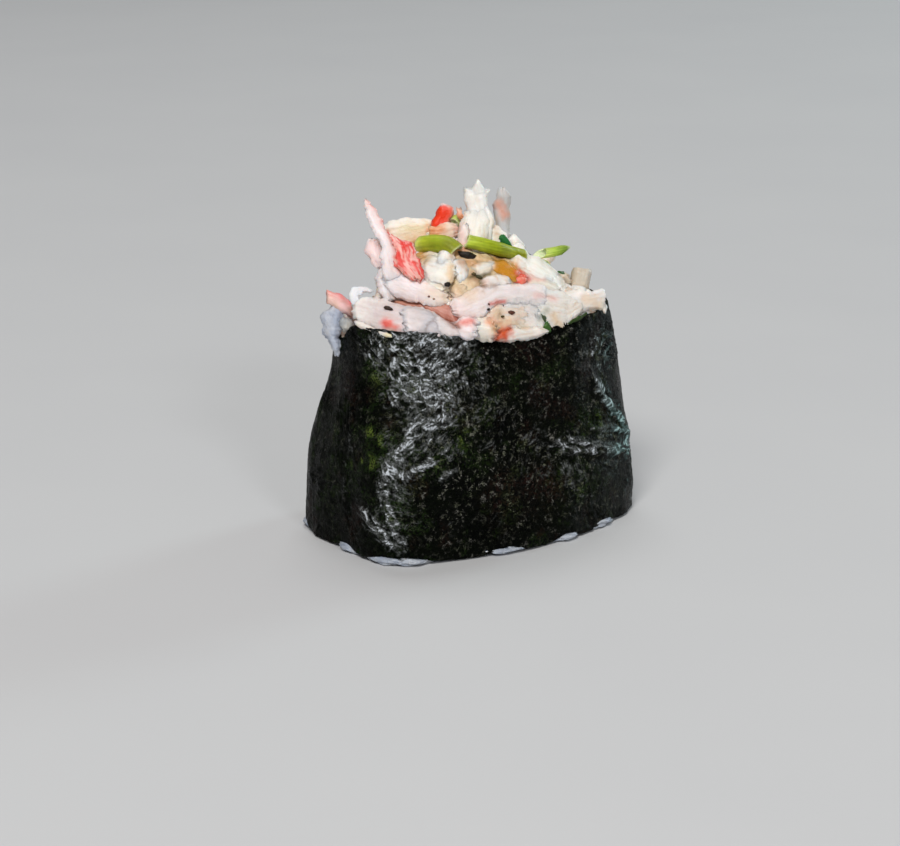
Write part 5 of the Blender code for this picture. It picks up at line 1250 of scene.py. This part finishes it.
def make_greens():
    g = Heap()
    lime, olive, pale = (0.40, 0.47, 0.040), (0.27, 0.33, 0.012), (0.66, 0.70, 0.36)
    line = lambda pts, lift: on_heap(np.array([p[0] for p in pts]), np.array([p[1] for p in pts]), np.asarray(lift, float))
    tube(g, line([(420, 245.5), (430, 244), (440, 244), (449, 246.5), (456, 252)], (1.2, 1.6, 1.8, 1.6, 1.0)), 1.50, 0.34, ((0, (0.55, 0.58, 0.16)), (0.25, (0.42, 0.48, 0.035)), (0.6, (0.30, 0.36, 0.020)), (0.9, (0.24, 0.25, 0.015)), (1, pale)), 1, slant=(0.5, 0.1))
    tube(g, line([(466.5, 241), (480, 244), (495, 248), (510, 252.5), (523, 256)], (2.1, 2.2, 2.6, 3.0, 3.6)), 1.12, 0.26, ((0, (0.42, 0.50, 0.05)), (0.3, (0.33, 0.40, 0.015)), (0.75, (0.30, 0.35, 0.010)), (1, (0.36, 0.38, 0.02)), (1, pale)), 2, slant=(0.2, -0.3))
    z = [deep((10.1, -4, 40.0)), deep((12.0, -4.6, 40.6)), deep((14.1, -5.3, 41.2))]
    tube(g, at_depth(np.array([540.0, 550.0, 565.0]), np.array([254.0, 252.5, 249.3]), np.array(z)), 0.80, 0.22, ((0, (0.62, 0.70, 0.22)), (0.6, (0.36, 0.50, 0.06)), (1, (0.14, 0.24, 0.03)), (1, (0.70, 0.76, 0.50))), 3, slant=(1.1, 0.8), flare=(0.05, -0.45))
    ring = at_depth(np.array([454.5, 458.0]), np.array([222.5, 218.5]), np.array([deep((-3.4, 0.4, 46.0)), deep((-3.1, 0.9, 46.6))]))
    tube(g, ring, 0.85, 0.30, ((0, (0.45, 0.52, 0.16)), (1, (0.45, 0.52, 0.16)), (1, (0.66, 0.70, 0.42))), 4)
    # the far side has some too
    for x, y, heading, long, r, tone in ((5.5, 6.0, 2.6, 8.0, 0.95, olive), (-6.5, 8.2, 0.3, 7.0, 1.05, (0.30, 0.38, 0.04)), (13.5, 1.5, 1.2, 5.5, 0.8, olive), (-6.0, 10.5, 3.0, 4.5, 0.85, lime), (0.5, 10.3, 3.0, 5.0, 0.7, (0.22, 0.30, 0.03))):
        t = np.linspace(-0.5, 0.5, 5)
        px, py = x + math.cos(heading) * long * t, y + math.sin(heading) * long * t
        pts = np.stack((px, py, heap_z(px, py) + 1.2 + 0.5 * t), -1)
        tube(g, pts, r, 0.24, ((0, tone), (0.6, (tone[0] * 0.7, tone[1] * 0.8, tone[2])), (1, tone), (1, pale)), int(10 + x), slant=(0.4, -0.3))
    # torn bits of leaf
    leaf, deep_leaf = (0.035, 0.105, 0.022), (0.012, 0.035, 0.010)
    thin = dict(crown=0.12, groove=0.04, crack=0.05, lump=0.08, fray=0.25, ragged=0.25, pitch=0.22, with_stains_and_shade=False, power=2.2)
    for rows, lift, tone in (
        ([(500, 236, 501, 244), (504, 235.5, 505, 246), (508, 239, 509, 247), (512, 245, 512, 248)], 3.8, (0.022, 0.15, 0.040)),
        ([(549, 321, 546, 323), (551, 326, 544, 328), (552, 331, 547, 333)], 1.3, (0.045, 0.11, 0.020)),
        ([(541, 313, 543, 319), (546, 316, 546, 322)], 1.1, (0.05, 0.07, 0.035)),
        ([(567, 322.5, 569, 325), (577, 317.5, 579, 321), (587, 312, 588, 314.5)], 1.3, (0.030, 0.055, 0.012)),
    ):
        a, b = lay(rows, lift)
        flake(g, a, b, 0.40, tone, int(400 + rows[0][0]), **thin)
    rng = np.random.RandomState(5)
    for i in range(16):
        angle, rho = rng.uniform(0, 6.28), rng.uniform(0.25, 0.95)
        x, y = 1 + 17 * rho * math.cos(angle), 11.5 * rho * math.sin(angle)
        if -0.53 * x - 0.85 * y > 0.5:
            continue
        a, b = lie_on_heap(x, y, rng.uniform(0, 6.28), rng.uniform(1.2, 3.0), rng.uniform(0.7, 1.5), 1.3, 0.2, 0.5, rng)
        flake(g, a, b, 0.35, leaf if i % 2 else deep_leaf, 450 + i, face=heap_normal(x, y), **thin)
    g.mesh("chives", green_material(), "crab_salad")


def make_seeds():
    s = Heap()
    black, brown = (0.010, 0.007, 0.005), (0.10, 0.030, 0.018)
    # in the viewer's frame: x, y, lift, half sizes, heading, colour
    for px, py, half, heading, tone in (
        (467, 255, (1.25, 0.75, 0.50), -0.5, black), (447.5, 284.5, (0.55, 0.50, 0.36), 0.9, black), (388.5, 308.3, (0.72, 0.34, 0.28), -0.9, (0.03, 0.015, 0.010)),
        (511.5, 312.5, (0.52, 0.46, 0.30), 0.4, brown), (488.5, 309.5, (0.34, 0.24, 0.20), 1.2, black), (502.5, 316.5, (0.55, 0.26, 0.16), 1.2, (0.07, 0.06, 0.015)),
        (429, 296.5, (0.34, 0.18, 0.14), 0.8, (0.22, 0.11, 0.07)), (434, 299, (0.24, 0.15, 0.12), 0.1, (0.30, 0.19, 0.12)),
        (479, 277, (0.55, 0.30, 0.22), -0.6, (0.05, 0.045, 0.015)), (474, 274, (0.50, 0.26, 0.22), 0.5, (0.10, 0.075, 0.03)), (451, 297, (0.26, 0.16, 0.12), 0.6, (0.22, 0.10, 0.07)), (489, 304, (0.22, 0.14, 0.12), 0.6, brown),
    ):
        c = on_top(px, py) + FWD * 0.35 * half[2]
        blob(s, c, half, heading, -0.25, tone, int(px), 0.34, 18, 12)
    rng = np.random.RandomState(9)
    for i in range(26):
        angle, rho = rng.uniform(0, 6.28), rng.uniform(0.1, 0.97)
        x, y = 1 + 17.5 * rho * math.cos(angle), 11.8 * rho * math.sin(angle)
        if -0.53 * x - 0.85 * y > 0.5:
            continue
        r = rng.uniform(0.25, 0.75)
        blob(s, (x, y, float(heap_z(x, y)) + 1.05), (r * 1.3, r, r * 0.8), rng.uniform(0, 6.28), rng.uniform(-0.5, 0.5), black if rng.rand() < 0.6 else brown, i, 0.16, 16, 10)
    s.mesh("seeds", seed_material(), "crab_salad")


make_greens()
make_seeds()

# ---------------------------------------------------------------- rice


def rice_material():
    k = Paint("cooked_rice")
    at = k.place()
    fine = k.noise(at, 1.6, 3.0, 0.6)
    colour = k.mix(k.span(k.noise(at, 0.5, 2.0), 0.35, 0.65), k.dye(), (0.74, 0.78, 0.86), "MULTIPLY")
    k.surface(Base_Color=colour, Roughness=k.span(fine, 0.3, 0.7, 0.36, 0.52), Normal=k.bump(k.noise(at, 2.6, 3.0, 0.65), 0.24, 1.0))
    for key, value in (("Subsurface Weight", 0.4), ("Subsurface Scale", 0.0007), ("Specular IOR Level", 0.45), ("Coat Weight", 0.06), ("Coat Roughness", 0.2)):
        k.p.inputs[key].default_value = value
    k.p.inputs["Subsurface Radius"].default_value = (0.8, 0.9, 1.0)
    return k.m


def make_rice():
    """Pressed rice: a block inside the band, with real grains over its flat underside, under the hem and over the rim at the left end."""
    block, grains = Heap(), Heap()
    white = (0.80, 0.82, 0.84)
    around = 220
    deg = np.linspace(0, 360, around, endpoint=False)
    rows = []
    for z, gap, cut in ((0.55, 3.0, 0.30), (0.50, 1.6, 0.8), (0.55, 0.9, 1.0), (2.0, 0.5, 1.0), (7, 0.42, 1.0), (13, 0.42, 1.0), (19, 0.42, 1.0), (RICE_TOP - 2.0, 0.5, 1.0), (RICE_TOP - 1.0, 1.3, 0.97), (RICE_TOP - 0.8, 2.0, 0.6), (RICE_TOP - 0.8, 2.0, 0.05)):
        x, y = within(deg, z, gap)
        rows.append(np.stack((x * cut, y * cut, z + 0 * x), -1))
    q = np.stack(rows)
    d, _ = cells(q / (2.6, 2.6, 2.0), 8)
    mid = unit(q * (1, 1, 0) + 1e-6)
    q = q + mid * (0.25 * (0.6 - d) - 0.1)[..., None]
    q[:2, :, 2] += (0.2 * (0.6 - d))[:2]
    quads = ring_quads(len(q), around)
    n, j = len(q) * around, np.arange(around)
    fan = np.concatenate((np.stack((np.full(around, n), (j + 1) % around, j), -1), np.stack((np.full(around, n + 1), n - around + j, n - around + (j + 1) % around), -1)))
    block.add(np.concatenate((q.reshape(-1, 3), q[0].mean(0)[None], q[-1].mean(0)[None])), quads, fan, white, np.zeros((n + 2, 2)))
    rng = np.random.RandomState(31)

    def grain(c, heading, lean=0.0, half=(2.55, 1.12, 0.85), tone=white, seed=0, bumps=0.22):
        blob(grains, c, half, heading, lean, tone, seed, bumps, 20, 14)

    # the underside: grains side by side, pressed flat where they touch the floor
    for i in range(150):
        angle, rho = i * math.radians(137.508), math.sqrt((i + 0.5) / 150)
        x, y = wall(np.degrees(angle), 0.0, -2.2)
        x, y = float(x) * rho, float(y) * rho
        grain((x, y, 0.72), rng.uniform(0, math.pi), rng.uniform(-0.05, 0.05), (rng.uniform(2.2, 2.8), rng.uniform(1.05, 1.3), 0.70), seed=i)
    # along the hem, just inside the sheet
    for i in range(64):
        at = i * 360 / 64 + rng.uniform(-1.5, 1.5)
        x, y = wall(at, 0.0, -1.7 - rng.uniform(0, 0.3))
        x2, y2 = wall(at + 2, 0.0, -1.2)
        grain((float(x), float(y), rng.uniform(0.80, 1.1)), math.atan2(float(y2 - y), float(x2 - x)) + rng.uniform(-0.15, 0.15), rng.uniform(-0.1, 0.1), (2.0, 1.0, 0.70), seed=200 + i)
    # squeezed out under the hem, squashed flat, in a dark grey tone that is painted shade under the hem
    for i, (at, turn) in enumerate(HEM_GRAINS):
        x, y = wall(at, 0.0, -0.75)
        x2, y2 = wall(at + 2, 0.0, -0.75)
        x1, y1 = wall(at - 2, 0.0, -0.75)
        grain((float(x), float(y), 0.66), math.atan2(float(y2 - y1), float(x2 - x1)) + math.radians(turn), 0.0, (2.6, 1.30, 0.60), tone=(0.42, 0.45, 0.50), seed=300 + i, bumps=0.42)
    # over the rim at the left end, in the viewer's frame; their dark bluish grey and grey tones are painted shade at
    # that end
    spill = [
        ([(331, 304, 341, 305), (324, 311, 343.5, 312), (321.5, 322, 342.5, 322), (323, 335, 340, 336), (329.5, 346, 341, 346), (334.5, 356, 340, 357)], [(-21.4, 3.9, 35.1), (-22.2, 3.3, 32.3), (-21.9, 2.6, 28.6)], 2.4, (0.53, 0.56, 0.625)),
        ([(341, 317, 352, 319), (339, 324, 354, 325), (342, 331, 352, 332)], [(-20.6, 2.2, 33.2)], 1.8, (0.50, 0.50, 0.47)),
    ]
    for i, (r, ref, thick, tone) in enumerate(spill):
        a, b = lay(r, 0.0, ref)
        flake(grains, a, b, thick, tone, 500 + i, groove=0.08, crack=0.08, lump=0.32, fray=0.35, ragged=0.38, crown=0.03, power=2.6, pitch=0.16, with_stains_and_shade=False)
    for i in range(22):
        at = SPILL_DEG + rng.uniform(-11, 11)
        z = rng.uniform(25.0, float(rim_z(at)) + 1.2)
        x, y = within(at, min(z, float(rim_z(at))), rng.uniform(2.5, 4.0))
        grain((float(x), float(y), z), rng.uniform(0, 3.14), rng.uniform(-1.2, 1.2), (2.1, 1.0, 0.9), seed=400 + i)
    paint = rice_material()
    block.mesh("rice_block", paint, "rice", ("rice_bed",))
    grains.mesh("rice_grains", paint, "rice")


make_rice()


# ---------------------------------------------------------------- floor, light and camera


def floor_material():
    k = Paint("pale_floor")
    at = k.place()
    k.surface(Base_Color=k.mix(k.noise(at, 0.02, 2.0), (0.55, 0.55, 0.56), (0.58, 0.58, 0.585)), Roughness=0.75)
    k.p.inputs["Specular IOR Level"].default_value = 0.2
    return k.m


def make_floor():
    me = bpy.data.meshes.new("floor")
    s = 3.0
    me.from_pydata([(-s, -s, 0), (s, -s, 0), (s, s, 0), (-s, s, 0)], [], [(0, 1, 2, 3)])
    me.materials.append(floor_material())
    ob = bpy.data.objects.new("floor", me)
    bpy.context.scene.collection.objects.link(ob)


def area_light(name, spot, target, size, power, colour):
    light = bpy.data.lights.new(name, "AREA")
    light.shape = "RECTANGLE"
    light.size, light.size_y = size[0] * MM, size[1] * MM
    light.energy = power
    light.color = colour
    ob = bpy.data.objects.new(name, light)
    bpy.context.scene.collection.objects.link(ob)
    ob.location = Vector(spot) * MM
    ob.rotation_euler = (Vector(target) - Vector(spot)).to_track_quat("-Z", "Y").to_euler()
    return ob


def make_lights():
    area_light("key", (-760, -800, 1110), (0, 0, 30), (480, 480), 18.0, (1.0, 0.985, 0.96))
    area_light("low", (-200, -1180, 620), (0, 0, 20), (240, 140), 3.4, (0.96, 0.98, 1.0))
    area_light("top", (260, 520, 1200), (0, 0, 30), (700, 500), 4.5, (0.98, 0.99, 1.0))
    area_light("side", (1150, 240, 330), (0, 0, 20), (260, 520), 4.0, (0.80, 0.97, 1.0))
    world = bpy.data.worlds.new("studio")
    world.use_nodes = True
    world.node_tree.nodes["Background"].inputs["Color"].default_value = (1.0, 0.99, 0.98, 1)
    world.node_tree.nodes["Background"].inputs["Strength"].default_value = 0.13
    bpy.context.scene.world = world
    bpy.context.scene.view_settings.view_transform = "Standard"


def make_camera():
    data = bpy.data.cameras.new("camera")
    data.lens, data.sensor_width = LENS, 36.0
    data.clip_start, data.clip_end = 0.01, 10.0
    ob = bpy.data.objects.new("camera", data)
    bpy.context.scene.collection.objects.link(ob)
    ob.location = Vector(EYE) * MM
    ob.rotation_euler = Vector(FWD).to_track_quat("-Z", "Y").to_euler()
    bpy.context.scene.camera = ob


make_floor()
make_lights()
make_camera()
